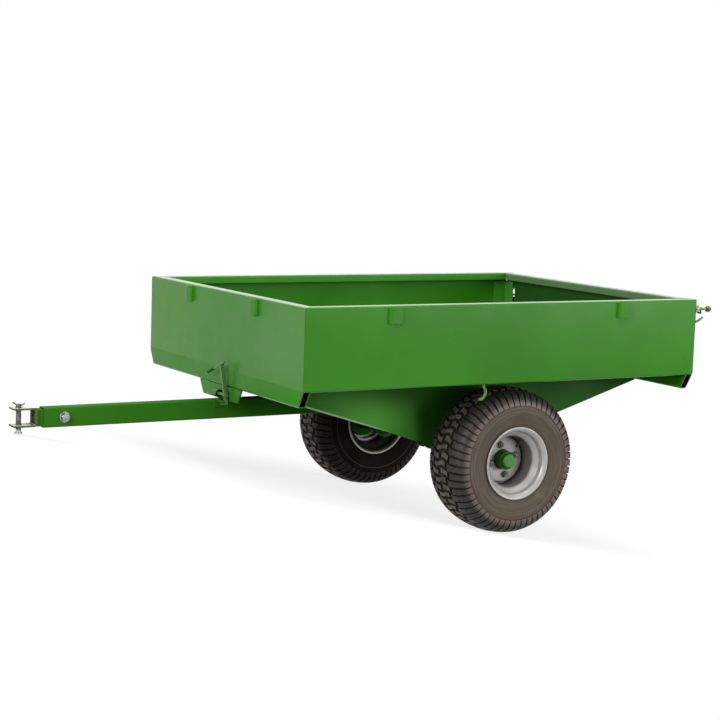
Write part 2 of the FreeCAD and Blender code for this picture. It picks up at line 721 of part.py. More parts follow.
def make_gate_levers():
    """Two ears on the tailgate with a ball-ended lever between them and a wire link over the hook."""
    rear = value("front_reach - box_length")
    reach = value("gate_slot")
    ears = [lever_cheek(rear, reach + 9), lever_cheek(rear, reach - 13)]
    pivot, grip = Vector(rear - 34, reach, 693), Vector(rear - 88, reach, 690.5)
    arm = Part.makeCone(6, 3.4, (grip - pivot).Length, pivot, grip - pivot)
    eye = Part.makeCylinder(7, 16, pivot - Vector(0, 8, 0), Vector(0, 1, 0))
    pin = Part.makeCylinder(4, 28, pivot - Vector(0, 14, 0), Vector(0, 1, 0))
    ball = Part.makeSphere(10.6, grip, Vector(0, 1, 0))
    link = [
        Vector(rear - 50, reach + 7, 693), Vector(rear - 52.5, reach + 7, 679.2),
        Vector(rear - 52.5, reach - 7, 679.2), Vector(rear - 50, reach - 7, 693),
    ]
    wire = rod_through(link, 3).fuse(Part.makeCylinder(3, 14, link[-1], Vector(0, 1, 0)))
    left = ears[0].fuse([ears[1], pin, eye, arm, ball, wire]).removeSplitter()
    right = left.mirror(Vector(0, 0, 0), Vector(0, 1, 0))
    levers = DOCUMENT.addObject("Part::Feature", "tailgate_latch_levers")
    levers.Shape = Part.makeCompound([left, right])
    keep(levers, "tailgate_latch_levers")


# ---------------------------------------------------------------- wheels

def rim_outline():
    """Half section of the rim: flanges, bead seats, drop well and a disc with a turned-in edge."""
    half, edge, gauge = "rim_half", "rim_edge", "rim_gauge"
    seat, well, inner = "seat_radius", "well_radius", "(well_radius - rim_gauge)"
    face, back, ring = "disc_face", "(disc_face - 4)", "(disc_flat + disc_round)"
    return [
        (f"-{half}", edge), (f"-{half} + 4", edge), (f"-{half} + 6", f"{seat} + 4"),
        (f"-{half} + 6", seat), (f"-{half} + 27", f"{seat} - 1"),
        (f"-{half} + 41", well), (f"{half} - 41", well), (f"{half} - 27", f"{seat} - 1"),
        (f"{half} - 6", seat), (f"{half} - 6", f"{seat} + 4"), (f"{half} - 4", edge), (half, edge),
        (half, f"{edge} - {gauge}", "-9"), (f"{half} - 9", f"{seat} - {gauge}"),
        (f"{half} - 24", f"{seat} - 1 - {gauge}"), (f"{half} - 39", inner),
        (f"{face} - disc_round - 4", inner), (f"{face} - disc_round - 4", ring),
        (f"{face} - disc_round", ring, "-disc_round"), (face, "disc_flat"),
        (face, "hub_hole"), (back, "hub_hole"),
        (back, "disc_flat", "(disc_round - 4)"), (f"{face} - disc_round", f"{ring} - 4"),
        (f"{face} - disc_round - 16", f"{ring} - 4"), (f"{face} - disc_round - 16", inner),
        (f"-{half} + 39", inner), (f"-{half} + 24", f"{seat} - 1 - {gauge}"),
        (f"-{half} + 9", f"{seat} - {gauge}", "-9"), (f"-{half}", f"{edge} - {gauge}"),
    ]


def tyre_outline():
    """Half section of the tyre, open towards the rim: beads, bulged walls, shoulders and crown."""
    half, crown, seat = "tyre_half", "tyre_radius", "(rim_half - 6.2)"
    wall, tread = "tyre_wall", "(2 * tyre_wall)"
    return [
        (f"-{seat}", "tyre_bead"), (f"-{seat} + 1.8 * {wall}", "tyre_bead"),
        (f"-{seat} + {wall}", "rim_edge + 8"), (f"-{half} + {wall}", f"{crown} - 64"),
        (f"-({half} - 34)", f"{crown} - {tread}"), (f"{half} - 34", f"{crown} - {tread}"),
        (f"{half} - {wall}", f"{crown} - 64"), (f"{seat} - {wall}", "rim_edge + 8"),
        (f"{seat} - 1.8 * {wall}", "tyre_bead"), (seat, "tyre_bead"),
        (seat, "rim_edge + 2", "bulge_round"), (half, "bulge_level", "shoulder_round"),
        ("crown_half", f"{crown} - crown_drop", "crown_round"),
        ("-crown_half", f"{crown} - crown_drop", "shoulder_round"),
        (f"-{half}", "bulge_level", "bulge_round"), (f"-{seat}", "rim_edge + 2"),
    ]


def make_wheel(name, side):
    spot = ("0", f"{side} * half_track", "tyre_radius")
    turn = 0 if side == "1" else 180
    turned(new_body(f"{name}_tyre", spot, turn), tyre_outline())

    rim = new_body(f"{name}_rim", spot, turn)
    turned(rim, rim_outline())
    stud_x, stud_z = "(stud_circle * cos(stud_turn))", "(stud_circle * sin(stud_turn))"
    stud = pocket(rim, "XZ_Plane", [(stud_x, stud_z, "stud_radius + 0.5")])
    ringed(rim, [stud], 4)

    hub = new_body(f"{name}_hub", spot, turn)
    turned(hub, [
        ("-76", "stub_radius + running_gap"), ("hub_nose - 4", "stub_radius + running_gap"),
        ("hub_nose - 4", "0"), ("hub_nose", "0"), ("hub_nose", "26", "3"), ("hub_nose - 3", "29"),
        ("disc_face - 4", "29"), ("disc_face - 4", "62"), ("disc_face - 13", "62"),
        ("disc_face - 13", "34"), ("-76", "30"),
    ])
    stud = pocket(hub, "XZ_Plane", [(stud_x, stud_z, "stud_radius + 0.5")], "30", "9 - disc_face")
    ringed(hub, [stud], 4)

    cap = new_body(f"{name}_hub_cap", spot, turn)
    turned(cap, [
        ("hub_nose", "0"), ("hub_nose + 12", "0"), ("hub_nose + 12", "18.3", "3.5"),
        ("hub_nose + 8.5", "21.8"), ("hub_nose", "21.8"),
    ])

    bolts = new_body(f"{name}_wheel_bolts", spot, turn)
    shaft = pad(bolts, "XZ_Plane", [(stud_x, stud_z, "stud_radius")], "34", "9 - disc_face")
    nut = [(f"{stud_x} + {across}", f"{stud_z} + {up}") for across, up in hexagon("9.5")]
    head = pad(bolts, "XZ_Plane", [nut], "10", "-(disc_face + 5)")
    ringed(bolts, [shaft, head], 4)
    make_valve(f"{name}_valve_stem", spot, turn)


def make_valve(label, spot, turn):
    """Stem that leaves the slope of the rim's well and leans in towards the hub."""
    foot, end = Vector(-42, 47, 68), Vector(-21, 52, 44)
    lean = (end - foot).normalize()
    stem = Part.makeCone(6, 4, 15, foot, lean)
    tip = Part.makeCylinder(4.4, 18, foot + lean * 15, lean)
    valve = DOCUMENT.addObject("Part::Feature", label)
    inside_well = Part.makeCylinder(value("well_radius - rim_gauge"), 120, Vector(0, 0, 0), Vector(0, 1, 0))
    valve.Shape = stem.fuse(tip).common(inside_well).removeSplitter()
    keep(valve, label, spot, turn)


# ---------------------------------------------------------------- parked pose and files

def park_pitch():
    """Nose-down angle that puts the rim of the pin's foot on the ground."""
    ahead = value("pin_ahead + pin_radius + 4")
    above = value("pin_foot - tyre_radius")
    fall = math.asin(value("tyre_radius") / math.hypot(ahead, above))
    return math.degrees(math.atan2(above, ahead) + fall)


def place_all(pitch, shift):
    """Pitch every sub-part about the axle and slide it along X."""
    radius = value("tyre_radius")
    pose = Placement(Vector(shift, 0, radius), Rotation(Vector(0, 1, 0), pitch))
    for item, spot, turn in PIECES.values():
        place = Vector(*[value(text) for text in spot]) - Vector(0, 0, radius)
        item.Placement = pose * Placement(place, Rotation(Vector(0, 0, 1), turn))
    DOCUMENT.recompute()


def whole_box():
    box = FreeCAD.BoundBox()
    for item, _, _ in PIECES.values():
        box.add(item.Shape.optimalBoundingBox(False))
    return box


def check_document():
    for item in DOCUMENT.Objects:
        if "Invalid" in item.State or "Error" in item.State:
            raise RuntimeError(f"{item.Name} failed: {item.State}")
    for label, (item, _, _) in PIECES.items():
        if item.Shape.isNull() or not item.Shape.isValid():
            raise RuntimeError(f"{label} has no valid shape")


def write_parts():
    os.makedirs("parts", exist_ok=True)
    for label, (item, _, _) in PIECES.items():
        item.Shape.exportStep(f"parts/{label}.step")


def main():
    fill_sheet()
    make_drawbar()
    make_axle()
    make_clevis()
    make_pin_clip()
    make_latch_catch()
    make_walls()
    make_channels()
    make_webs()
    make_posts()
    make_pockets()
    make_rope_hooks()
    make_latch()
    make_tailgate()
    make_hinges()
    make_gate_hooks()
    make_gate_levers()
    make_wheel("left", "1")
    make_wheel("right", "-1")
    DOCUMENT.recompute()
    check_document()
    pitch = park_pitch()
    place_all(pitch, 0)
    box = whole_box()
    shift = -(box.XMin + box.XMax) / 2
    place_all(pitch, shift)
    check_document()
    box = whole_box()
    print(f"pitch {pitch:.4f} shift {shift:.3f}")
    sides = (box.XMin, box.XMax, box.YMin, box.YMax, box.ZMin, box.ZMax)
    print("box", " ".join(f"{side:.3f}" for side in sides))
    for label, (item, _, _) in PIECES.items():
        print(f"{label}: {len(item.Shape.Solids)} solids, {item.Shape.Volume / 1000:.1f} cm3")
    write_parts()


main()
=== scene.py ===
# %% [markdown]
# # A small tipping trailer, dressed for its portrait
# The measured frame of this trailer comes from a CAD model: a folded steel box on a drawbar, with two
# turf wheels. This lesson adds what a drawing leaves out, which is paint, plating, weld beads, bolts
# and tyre tread. The frame is loaded first and is never moved, so every new piece is placed from it.

# %% Load the frame
import json
import math

import bmesh
import bpy
import numpy as np
from mathutils import Matrix, Vector


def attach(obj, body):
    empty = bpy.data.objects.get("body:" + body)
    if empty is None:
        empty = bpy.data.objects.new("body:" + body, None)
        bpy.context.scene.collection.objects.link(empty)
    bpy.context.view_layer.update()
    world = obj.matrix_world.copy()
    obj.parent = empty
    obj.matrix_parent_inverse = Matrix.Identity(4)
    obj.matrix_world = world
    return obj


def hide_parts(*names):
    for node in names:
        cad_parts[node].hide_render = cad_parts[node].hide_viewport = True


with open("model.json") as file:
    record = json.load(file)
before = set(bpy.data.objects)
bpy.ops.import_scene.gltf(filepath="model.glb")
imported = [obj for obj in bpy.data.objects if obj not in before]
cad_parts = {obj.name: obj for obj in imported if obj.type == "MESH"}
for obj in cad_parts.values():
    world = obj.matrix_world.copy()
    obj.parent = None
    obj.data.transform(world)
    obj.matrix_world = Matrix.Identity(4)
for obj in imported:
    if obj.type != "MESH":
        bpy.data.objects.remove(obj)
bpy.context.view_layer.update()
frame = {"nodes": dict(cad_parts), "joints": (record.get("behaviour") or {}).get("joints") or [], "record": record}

joints = {joint["name"]: joint for joint in frame["joints"]}
nodes = frame["nodes"]

# %% [markdown]
# ## From the towing pose to the parked pose
# The trailer is parked with its nose down on the foot of the hitch pin, but it is far easier to
# describe its parts in the towing pose, with the floor of the box level. One matrix turns the first
# into the second. Its angle is read from two joints of the frame: the axle and the tailgate's hinge.

# %% The parking matrix
WHEEL_RADIUS = 228.5
GATE_HINGE = Vector((-676.0, 0.0, 476.0))
axle = Vector(joints["bed_tip"]["pos_m"])
gate_hinge = Vector(joints["tailgate_hinge"]["pos_m"])
level_angle = math.atan2(GATE_HINGE.z - WHEEL_RADIUS, GATE_HINGE.x)
parked_angle = math.atan2(gate_hinge.z - axle.z, gate_hinge.x - axle.x)
pitch = level_angle - parked_angle
MILLIMETRES = Matrix.Scale(0.001, 4)
PARKED = (Matrix.Translation(axle) @ Matrix.Rotation(pitch, 4, "Y")
          @ MILLIMETRES @ Matrix.Translation((0, 0, -WHEEL_RADIUS)))
print("nose-down pitch", round(math.degrees(pitch), 3), "degrees")

# %% [markdown]
# ## Wiring a finish
# A procedural material is a small graph of nodes. Building it by hand takes four lines a node, so a
# short recipe class does the wiring: each call adds one node, sets or links its inputs and gives back
# the output that matters. A tuple of length three is a plain vector, of length four a colour.

# %% A recipe for wiring nodes
class Graph:
    """The node tree of a material or a world, with short words for adding its nodes."""

    def __init__(self, owner):
        owner.use_nodes = True
        self.tree = owner.node_tree
        self.tree.nodes.clear()

    def node(self, kind, inputs=None, **settings):
        made = self.tree.nodes.new(kind)
        for name, value in settings.items():
            setattr(made, name, value)
        for name, value in (inputs or {}).items():
            if isinstance(value, bpy.types.NodeSocket):
                self.tree.links.new(value, made.inputs[name])
            else:
                made.inputs[name].default_value = value
        return made

    def maths(self, operation, first, second=0.0, third=0.0):
        inputs = {0: first, 1: second, 2: third}
        return self.node("ShaderNodeMath", inputs, operation=operation).outputs[0]

    def times(self, first, second):
        return self.maths("MULTIPLY", first, second)

    def vector(self, operation, *inputs):
        """Vector arithmetic: gives a vector, or a number for a dot product, length or distance."""
        made = self.node("ShaderNodeVectorMath", dict(enumerate(inputs)), operation=operation)
        single = operation in ("DOT_PRODUCT", "LENGTH", "DISTANCE")
        return made.outputs["Value" if single else "Vector"]

    def rays_that_look(self):
        """1 for the rays of the camera, of mirrors and of glass, and 0 for those that only light."""
        rays = self.node("ShaderNodeLightPath").outputs
        straight = self.maths("MAXIMUM", rays["Is Camera Ray"], rays["Is Glossy Ray"])
        return self.maths("MAXIMUM", straight, rays["Is Transmission Ray"])


# %% A recipe for finishes
def colour(red, green, blue):
    return (red, green, blue, 1.0)


class Finish(Graph):
    """One procedural material, with short words for its patterns and masks."""

    def __init__(self, name):
        self.material = bpy.data.materials.new(name)
        super().__init__(self.material)
        coordinates = self.node("ShaderNodeTexCoord").outputs
        self.place, self.facing = coordinates["Object"], coordinates["Normal"]

    def axis(self, letter):
        """The X, Y or Z of each point, in the piece's own frame."""
        return self.node("ShaderNodeSeparateXYZ", {0: self.place}).outputs[letter]

    def along(self, way, vector=None):
        """How far each point lies along a direction, or how much a given vector does."""
        return self.vector("DOT_PRODUCT", vector or self.place, way)

    def noise(self, scale, detail=4.0, roughness=0.55, place=None):
        """Cloudy pattern; scale is how many clouds there are in a metre."""
        return self.node("ShaderNodeTexNoise", {
            "Vector": place or self.place, "Scale": scale, "Detail": detail, "Roughness": roughness,
        }).outputs["Fac"]

    def steps(self, value, low, high, start=0.0, end=1.0):
        """Value mapped from low..high to start..end, and held at both ends."""
        return self.node("ShaderNodeMapRange", {
            "Value": value, "From Min": low, "From Max": high, "To Min": start, "To Max": end,
        }, interpolation_type="SMOOTHSTEP").outputs["Result"]

    def blend(self, amount, under, over):
        """One colour laid over another by an amount from 0 to 1."""
        return self.node("ShaderNodeMix", {0: amount, 6: under, 7: over}, data_type="RGBA").outputs[2]

    def bump(self, height, strength, distance, normal=None):
        """Normal disturbed by a pattern that stands up by a distance, in metres."""
        inputs = {"Height": height, "Strength": strength, "Distance": distance}
        if normal is not None:
            inputs["Normal"] = normal
        return self.node("ShaderNodeBump", inputs).outputs["Normal"]

    def rounded(self, radius):
        """Normal that turns softly round every edge, as a folded sheet's does."""
        return self.node("ShaderNodeBevel", {"Radius": radius}, samples=4).outputs["Normal"]

    def worn_edge(self, radius):
        """Mask of outer and inner edges: where a rounded normal leaves the true one."""
        true = self.node("ShaderNodeNewGeometry").outputs["Normal"]
        same = self.vector("DOT_PRODUCT", self.rounded(radius), true)
        return self.steps(self.maths("SUBTRACT", 1.0, same), 0.02, 0.25)

    def shelter(self, distance, low, high):
        """Mask of sheltered places: those that see little of the open air within a distance."""
        seen = self.node("ShaderNodeAmbientOcclusion", {"Distance": distance}, samples=8)
        return self.steps(seen.outputs["AO"], low, high, 1.0, 0.0)

    def glancing(self, low, high, most):
        """Amount that grows where a surface is seen edge on; used for shine only."""
        facing = self.node("ShaderNodeLayerWeight", {"Blend": 0.5}).outputs["Facing"]
        return self.steps(facing, low, high, 0.0, most)

    def shader(self, **inputs):
        """Close the recipe with a Principled surface; names are the shader's own sockets."""
        surface = self.node("ShaderNodeBsdfPrincipled", {
            name.replace("_", " "): value for name, value in inputs.items()})
        self.node("ShaderNodeOutputMaterial", {"Surface": surface.outputs[0]})
        return self.material


# %% [markdown]
# ## Green paint on folded sheet
# The box is painted in one bright leaf green. Sprayed paint over sheet steel is never one flat colour:
# its edges are paler, partly from worn paint and partly as a painted highlight, its corners and the
# insides of channels get a painted shade that is nearly black, and its shine wanders because the sheet
# is not quite flat. It shines most where it is seen edge on, as on the top rims. One recipe with a few
# settings makes every green of the trailer, so that they stay one family.

# %% The recipe for green paint
# How many clouds each pattern has in a metre, from slow drifts of colour to fine orange peel.
DRIFT, WAVE, SMEAR, SCUFF, SPECK, PEEL = 1.7, 3.2, 9.0, 55.0, 240.0, 620.0
FOLD_RADIUS, PEEL_HEIGHT, SHADE_REACH = 0.0022, 0.0004, 0.045
# CORNER_PAINTED_SHADE is painted shade: near black laid into corners and channels within SHADE_REACH.
PALE_SPECK, CORNER_PAINTED_SHADE = colour(0.10, 0.20, 0.07), colour(0.003, 0.006, 0.003)
# Edge tones: partly worn paint and partly a painted highlight along the edges.
EDGE_WEAR_AND_HIGHLIGHT, PALE_EDGE_WEAR_AND_HIGHLIGHT = colour(0.20, 0.36, 0.15), colour(0.42, 0.50, 0.36)


def green_paint(name, deep, bright, gloss=(0.26, 0.42), rim_shine=1.0, level=0.15, waves=0.0016,
                worn=EDGE_WEAR_AND_HIGHLIGHT, wear_reach=0.0012, corners=(0.16, 0.46), tint=None):
    """Sprayed green. Gloss is the range of roughness, level the shine, worn the tone of its edges, partly wear and
    partly painted highlight, corners the thresholds of the painted shade in corners.
    """
    paint = Finish(name)
    tone = paint.blend(paint.steps(paint.noise(DRIFT, 3.0), 0.32, 0.68), deep, bright)
    specks = paint.times(paint.steps(paint.noise(SPECK, 2.0), 0.72, 0.8), 0.25)
    tone = paint.blend(specks, tone, PALE_SPECK)
    if tint:
        tone = tint(paint, tone)
    # Pale edges in noisy patches: worn paint that also serves as a painted highlight.
    scuffs = paint.steps(paint.noise(SCUFF), 0.45, 0.7, 0.25, 0.8)
    tone = paint.blend(paint.times(paint.worn_edge(wear_reach), scuffs), tone, worn)
    # Painted shade: sheltered corners and channel insides darken to near black and lose their shine.
    corner = paint.shelter(SHADE_REACH, *corners)
    tone = paint.blend(corner, tone, CORNER_PAINTED_SHADE)
    out_of_corner_shade = paint.maths("SUBTRACT", 1.0, corner)
    slow = paint.bump(paint.noise(WAVE, 1.0, 0.3), 1.0, waves, paint.rounded(FOLD_RADIUS))
    return paint.shader(
        Base_Color=tone, Roughness=paint.steps(paint.noise(SMEAR, 6.0, 0.65), 0.3, 0.7, *gloss),
        Normal=paint.bump(paint.noise(PEEL, 2.0), 0.10, PEEL_HEIGHT, slow),
        Specular_IOR_Level=paint.times(out_of_corner_shade, level),
        Coat_Weight=paint.times(out_of_corner_shade, paint.glancing(0.55, 0.88, rim_shine)),
        Coat_Roughness=0.2, Coat_IOR=1.7)


# %% [markdown]
# ## Painted light and shade in their own places
# Some marks belong to one place, and most of them are painted light and shade. The inside of the
# tailgate gets painted shade and its top lip a painted reflection, the front gets painted light that
# turns grey to one side and yellow to the other, and the webs get painted shade under the floor, a pool
# of painted light before the wheel and a painted highlight on their lower edge. A tint is a small
# function that changes the paint's tone by where a point lies along the box's own upward and forward
# directions.

# %% Tints for the tailgate and the front
UP = (math.sin(pitch), 0, math.cos(pitch))
FORWARD = (math.cos(pitch), 0, -math.sin(pitch))


def reach_along(way, x, z):
    """How far a point of the towing pose, in millimetres, lies along a direction, in metres."""
    return (PARKED @ Vector((x, 0, z))).dot(Vector(way))


def gate_painted_shade_and_reflection(paint, tone):
    """Painted shade on the inside face of the tailgate, and a grey green painted reflection on its top lip."""
    # Painted shade: the face turned forward, inside the box, is darkened.
    inside_face_shade = paint.steps(paint.along(FORWARD, paint.facing), 0.5, 0.9)
    tone = paint.blend(inside_face_shade, tone, colour(0.024, 0.098, 0.016))
    # Painted reflection: a grey green band on the top lip.
    lip = reach_along(UP, -665.0, 700.0)
    return paint.blend(paint.steps(paint.along(UP), lip, lip + 0.004), tone, colour(0.115, 0.205, 0.090))


def front_painted_light(paint, tone):
    """Painted light: the front turns grey towards one side and yellow towards the other, as light falls across it.
    """
    # Painted light across the front panel, greyer on one side and yellower on the other.
    across = paint.axis("Y")
    tone = paint.blend(paint.steps(across, -0.1, 0.45, 0.0, 0.45), tone, colour(0.075, 0.235, 0.045))
    return paint.blend(paint.steps(across, -0.5, -0.05, 0.55, 0.0), tone, colour(0.080, 0.270, 0.010))


# %% Tints for the webs, the hub and the fork
UNDER_FLOOR = 483.0             # height of the load floor's underside
WEB_SLOPE = 0.3075              # how much the webs' lower edge rises for each step forward
WEB_EDGE = (296.0, 298.0)       # one point of that edge, forward and up


def web_painted_light_and_shade(paint, tone):
    """The webs get painted shade at the top, a pool of painted light low down before the wheel, and a painted
    highlight along the lower edge.
    """
    # Painted shade under the load floor.
    under = reach_along(UP, 0.0, UNDER_FLOOR)
    shade_under_floor = paint.steps(paint.along(UP), under - 0.09, under - 0.01, 0.0, 0.6)
    tone = paint.blend(shade_under_floor, tone, colour(0.014, 0.052, 0.008))
    ahead = paint.maths("SUBTRACT", paint.along(FORWARD), axle.dot(Vector(FORWARD)))
    rise = tuple(Vector(UP) - WEB_SLOPE * Vector(FORWARD))
    lift = paint.maths("SUBTRACT", paint.along(rise), reach_along(rise, *WEB_EDGE))
    # Painted light: a bright pool low on the web before the wheel.
    near_wheel = paint.times(paint.steps(ahead, 0.19, 0.25), paint.steps(ahead, 0.33, 0.66, 1.0, 0.05))
    fresh = paint.times(near_wheel, paint.steps(lift, 0.02, 0.15, 1.0, 0.0))
    tone = paint.blend(fresh, tone, colour(0.105, 0.42, 0.055))
    # Painted highlight: a pale line along the lower edge.
    edge_highlight = paint.times(paint.steps(ahead, 0.30, 0.40), paint.steps(lift, 0.0025, 0.005, 0.85, 0.0))
    return paint.blend(edge_highlight, tone, colour(0.50, 0.58, 0.46))


def hub_painted_shade(paint, tone):
    """Painted shade: the half of the hub towards the trailer is darkened nearly to black."""
    inner = paint.steps(paint.axis("Y"), -0.02, 0.0, 0.93, 0.0)
    return paint.blend(inner, tone, colour(0.006, 0.010, 0.004))


def fork_painted_highlight(paint, tone):
    """Painted highlight: the upper faces of the fork are turned bright."""
    lit_top_faces = paint.steps(paint.along(UP, paint.facing), 0.6, 0.9)
    return paint.blend(lit_top_faces, tone, colour(0.80, 0.83, 0.74))


# %% [markdown]
# ## The greens of this trailer
# The box is brightest. The chassis got a darker, flatter coat, and the webs the dullest one. The front
# latch and the channels have pale edges, partly lost paint and partly painted highlight, and the
# channels deeper painted shade in their hollows. The hitch fork has gone olive, with painted shade
# inside it, and the rear corner posts are a brighter green as painted light.

# %% The green finishes
BOX_GREENS = (colour(0.031, 0.192, 0.007), colour(0.041, 0.240, 0.011))
FRAME_GREENS = (colour(0.026, 0.140, 0.007), colour(0.033, 0.172, 0.010))
box_paint = green_paint("leaf_green_box_paint", *BOX_GREENS)
front_paint = green_paint("front_paint_with_painted_light", *BOX_GREENS, level=0.28, waves=0.0022, tint=front_painted_light)
gate_paint = green_paint("tailgate_paint_with_painted_shade", *BOX_GREENS, tint=gate_painted_shade_and_reflection)
# Channels: deeper painted shade in their hollows, and pale edges that are partly wear, partly painted highlight.
channel_paint = green_paint(
    "leaf_green_channel_paint", *BOX_GREENS, worn=PALE_EDGE_WEAR_AND_HIGHLIGHT, wear_reach=0.0018, corners=(0.42, 0.72))
frame_paint = green_paint(
    "leaf_green_frame_paint", *FRAME_GREENS, gloss=(0.48, 0.62), rim_shine=0.0, level=0.05)
web_paint = green_paint(
    "leaf_green_web_paint", colour(0.020, 0.100, 0.007), colour(0.027, 0.135, 0.010),
    gloss=(0.45, 0.6), rim_shine=0.2, level=0.10, worn=PALE_EDGE_WEAR_AND_HIGHLIGHT, wear_reach=0.002, tint=web_painted_light_and_shade)
hub_paint = green_paint(
    "hub_paint_with_painted_shade", *FRAME_GREENS, gloss=(0.4, 0.55), rim_shine=0.0, level=0.10, tint=hub_painted_shade)
# Painted light: the rear corner posts get a brighter green and no painted shade in their corners.
post_paint = green_paint(
    "post_paint_with_painted_light", colour(0.060, 0.29, 0.025), colour(0.075, 0.33, 0.035), corners=(0.0, 0.05))
# The latch is a lighter green, with pale edges that are partly wear and partly painted highlight, and more shine.
latch_paint = green_paint(
    "latch_paint_worn_and_highlighted", colour(0.050, 0.17, 0.025), colour(0.10, 0.24, 0.06),
    worn=PALE_EDGE_WEAR_AND_HIGHLIGHT, wear_reach=0.002, level=0.5)
# The fork's corner thresholds lay deep painted shade inside it.
fork_paint = green_paint(
    "olive_fork_paint", colour(0.046, 0.078, 0.012), colour(0.095, 0.150, 0.028), gloss=(0.3, 0.5),
    level=0.08, worn=colour(0.22, 0.26, 0.11), corners=(0.56, 0.82), tint=fork_painted_highlight)
# Painted shade: a near-black green for the sleeve that stands where shade lies on the latch's handle.
handle_shade_sleeve_paint = green_paint(
    "handle_shade_sleeve_green", colour(0.012, 0.075, 0.006), colour(0.016, 0.095, 0.008),
    rim_shine=0.0, level=0.05, gloss=(0.5, 0.7))
print(len(bpy.data.materials), "green finishes")

# %% [markdown]
# ## Bright plating and dull plating
# Bolts are zinc plated, which is a metal with a faint blue cloud in it. The tailgate's latches carry a
# duller yellow-green plating that has gone olive, and the loose hitch pin is plain steel gone brown,
# polished only at its foot. The colour of a metal sits in its reflection.

# %% Plated steels
RUBBED_STEEL, CREVICE_PAINTED_SHADE = colour(0.50, 0.49, 0.45), colour(0.012, 0.013, 0.008)
CLOUDS, SMUDGES, METAL_GRAIN = 60.0, 90.0, 420.0


def plated(name, low, high, rough, metal, foot=None):
    """Plating that clouds from low to high, and is rubbed bright below the height of its foot."""
    plate = Finish(name)
    tone = plate.blend(plate.steps(plate.noise(CLOUDS, 5.0), 0.35, 0.65), low, high)
    tone = plate.blend(plate.times(plate.worn_edge(0.0009), 0.6), tone, RUBBED_STEEL)
    # Painted shade: crevices and hollows of the plating darken to near black.
    tone = plate.blend(plate.shelter(0.02, 0.15, 0.6), tone, CREVICE_PAINTED_SHADE)
    if foot:
        polished = plate.steps(plate.axis("Z"), foot, foot + 0.004, 1.0, 0.0)
        tone = plate.blend(polished, tone, RUBBED_STEEL)
    return plate.shader(
        Base_Color=tone, Metallic=metal,
        Normal=plate.bump(plate.noise(METAL_GRAIN, 3.0), 0.25, 0.0004),
        Roughness=plate.steps(plate.noise(SMUDGES, 4.0), 0.3, 0.7, *rough))


zinc = plated("bright_zinc", colour(0.19, 0.205, 0.20), colour(0.34, 0.36, 0.355), (0.22, 0.42), 1.0)
dull_zinc = plated(
    "weathered_zinc", colour(0.060, 0.075, 0.062), colour(0.17, 0.18, 0.165), (0.22, 0.4), 1.0)
olive_plate = plated(
    "olive_plating", colour(0.050, 0.062, 0.026), colour(0.235, 0.290, 0.165), (0.3, 0.55), 0.6)
pin_steel = plated(
    "brown_pin_steel", colour(0.085, 0.066, 0.072), colour(0.17, 0.145, 0.15), (0.3, 0.5), 0.8,
    foot=0.012)
print("plated finishes:", *(steel.name for steel in (zinc, dull_zinc, olive_plate, pin_steel)))

# %% [markdown]
# ## Wheel paint
# The rims are sprayed silver: a fine aluminium flake in lacquer, satin rather than mirror bright. Grime
# lies in patches and a little rust bleeds round the hub; the well and the crevices get painted shade, and
# the side towards the trailer is painted nearly black and dull as shade. These are keyed to distances
# from the wheel's middle, so they turn with it.

# %% Silver wheel paint
WHEEL_PLANE = (1, 0, 1)


def wheel_radius(finish):
    """Distance from the axle at each point of a piece whose origin is the wheel's middle."""
    return finish.vector("LENGTH", finish.vector("MULTIPLY", finish.place, WHEEL_PLANE))


silver = Finish("silver_wheel_paint")
reach, across = wheel_radius(silver), silver.axis("Y")
flake = silver.steps(silver.noise(900.0, 1.0), 0.3, 0.7)
grime = silver.times(silver.steps(silver.noise(24.0, 6.0, 0.7), 0.42, 0.7), 0.35)
# Painted shade in the crevices, in the well, and over the side towards the trailer.
crevice_shade = silver.shelter(0.03, 0.12, 0.5)
well_shade = silver.times(silver.steps(reach, 0.0765, 0.0785), silver.steps(reach, 0.0805, 0.086, 0.75, 0.0))
inner = silver.times(
    silver.steps(across, -0.030, 0.0, 1.0, 0.0), silver.steps(reach, 0.103, 0.110, 0.95, 0.1))
rust = silver.times(
    silver.steps(reach, 0.030, 0.037, 1.0, 0.0), silver.steps(silver.noise(38.0, 5.0), 0.42, 0.55))
lacquer = silver.blend(flake, colour(0.42, 0.395, 0.37), colour(0.49, 0.465, 0.44))
for amount, stain in (
        (grime, colour(0.27, 0.25, 0.21)), (crevice_shade, colour(0.045, 0.042, 0.037)),
        (well_shade, colour(0.125, 0.118, 0.105)), (inner, colour(0.016, 0.017, 0.010)),
        (rust, colour(0.16, 0.10, 0.035))):
    lacquer = silver.blend(amount, lacquer, stain)
# The painted shade on the trailer's side also takes away most of its shine.
silver_paint = silver.shader(
    Base_Color=lacquer, Metallic=0.3, Specular_IOR_Level=silver.maths("MULTIPLY_ADD", inner, -0.45, 0.5),
    Roughness=silver.steps(silver.noise(30.0), 0.3, 0.7, 0.30, 0.46),
    Normal=silver.bump(silver.noise(500.0, 2.0), 0.15, 0.0004))
print("wheel paint:", len(silver.tree.nodes), "nodes")

# %% [markdown]
# ## Rubber
# New rubber is black, but this tyre has stood on a yard. Its centre blocks are scuffed to a warm brown,
# the shoulders stay dark, the ends of the lugs are pinkish with dust, and the wall wears a brown film
# with fine streaks that run round it. Radius from the axle tells these zones apart.

# %% Marks on the tyre's wall
WALL_LINE = 0.1620
WALL_SCUFF = (-0.111, 0.092, -0.084)


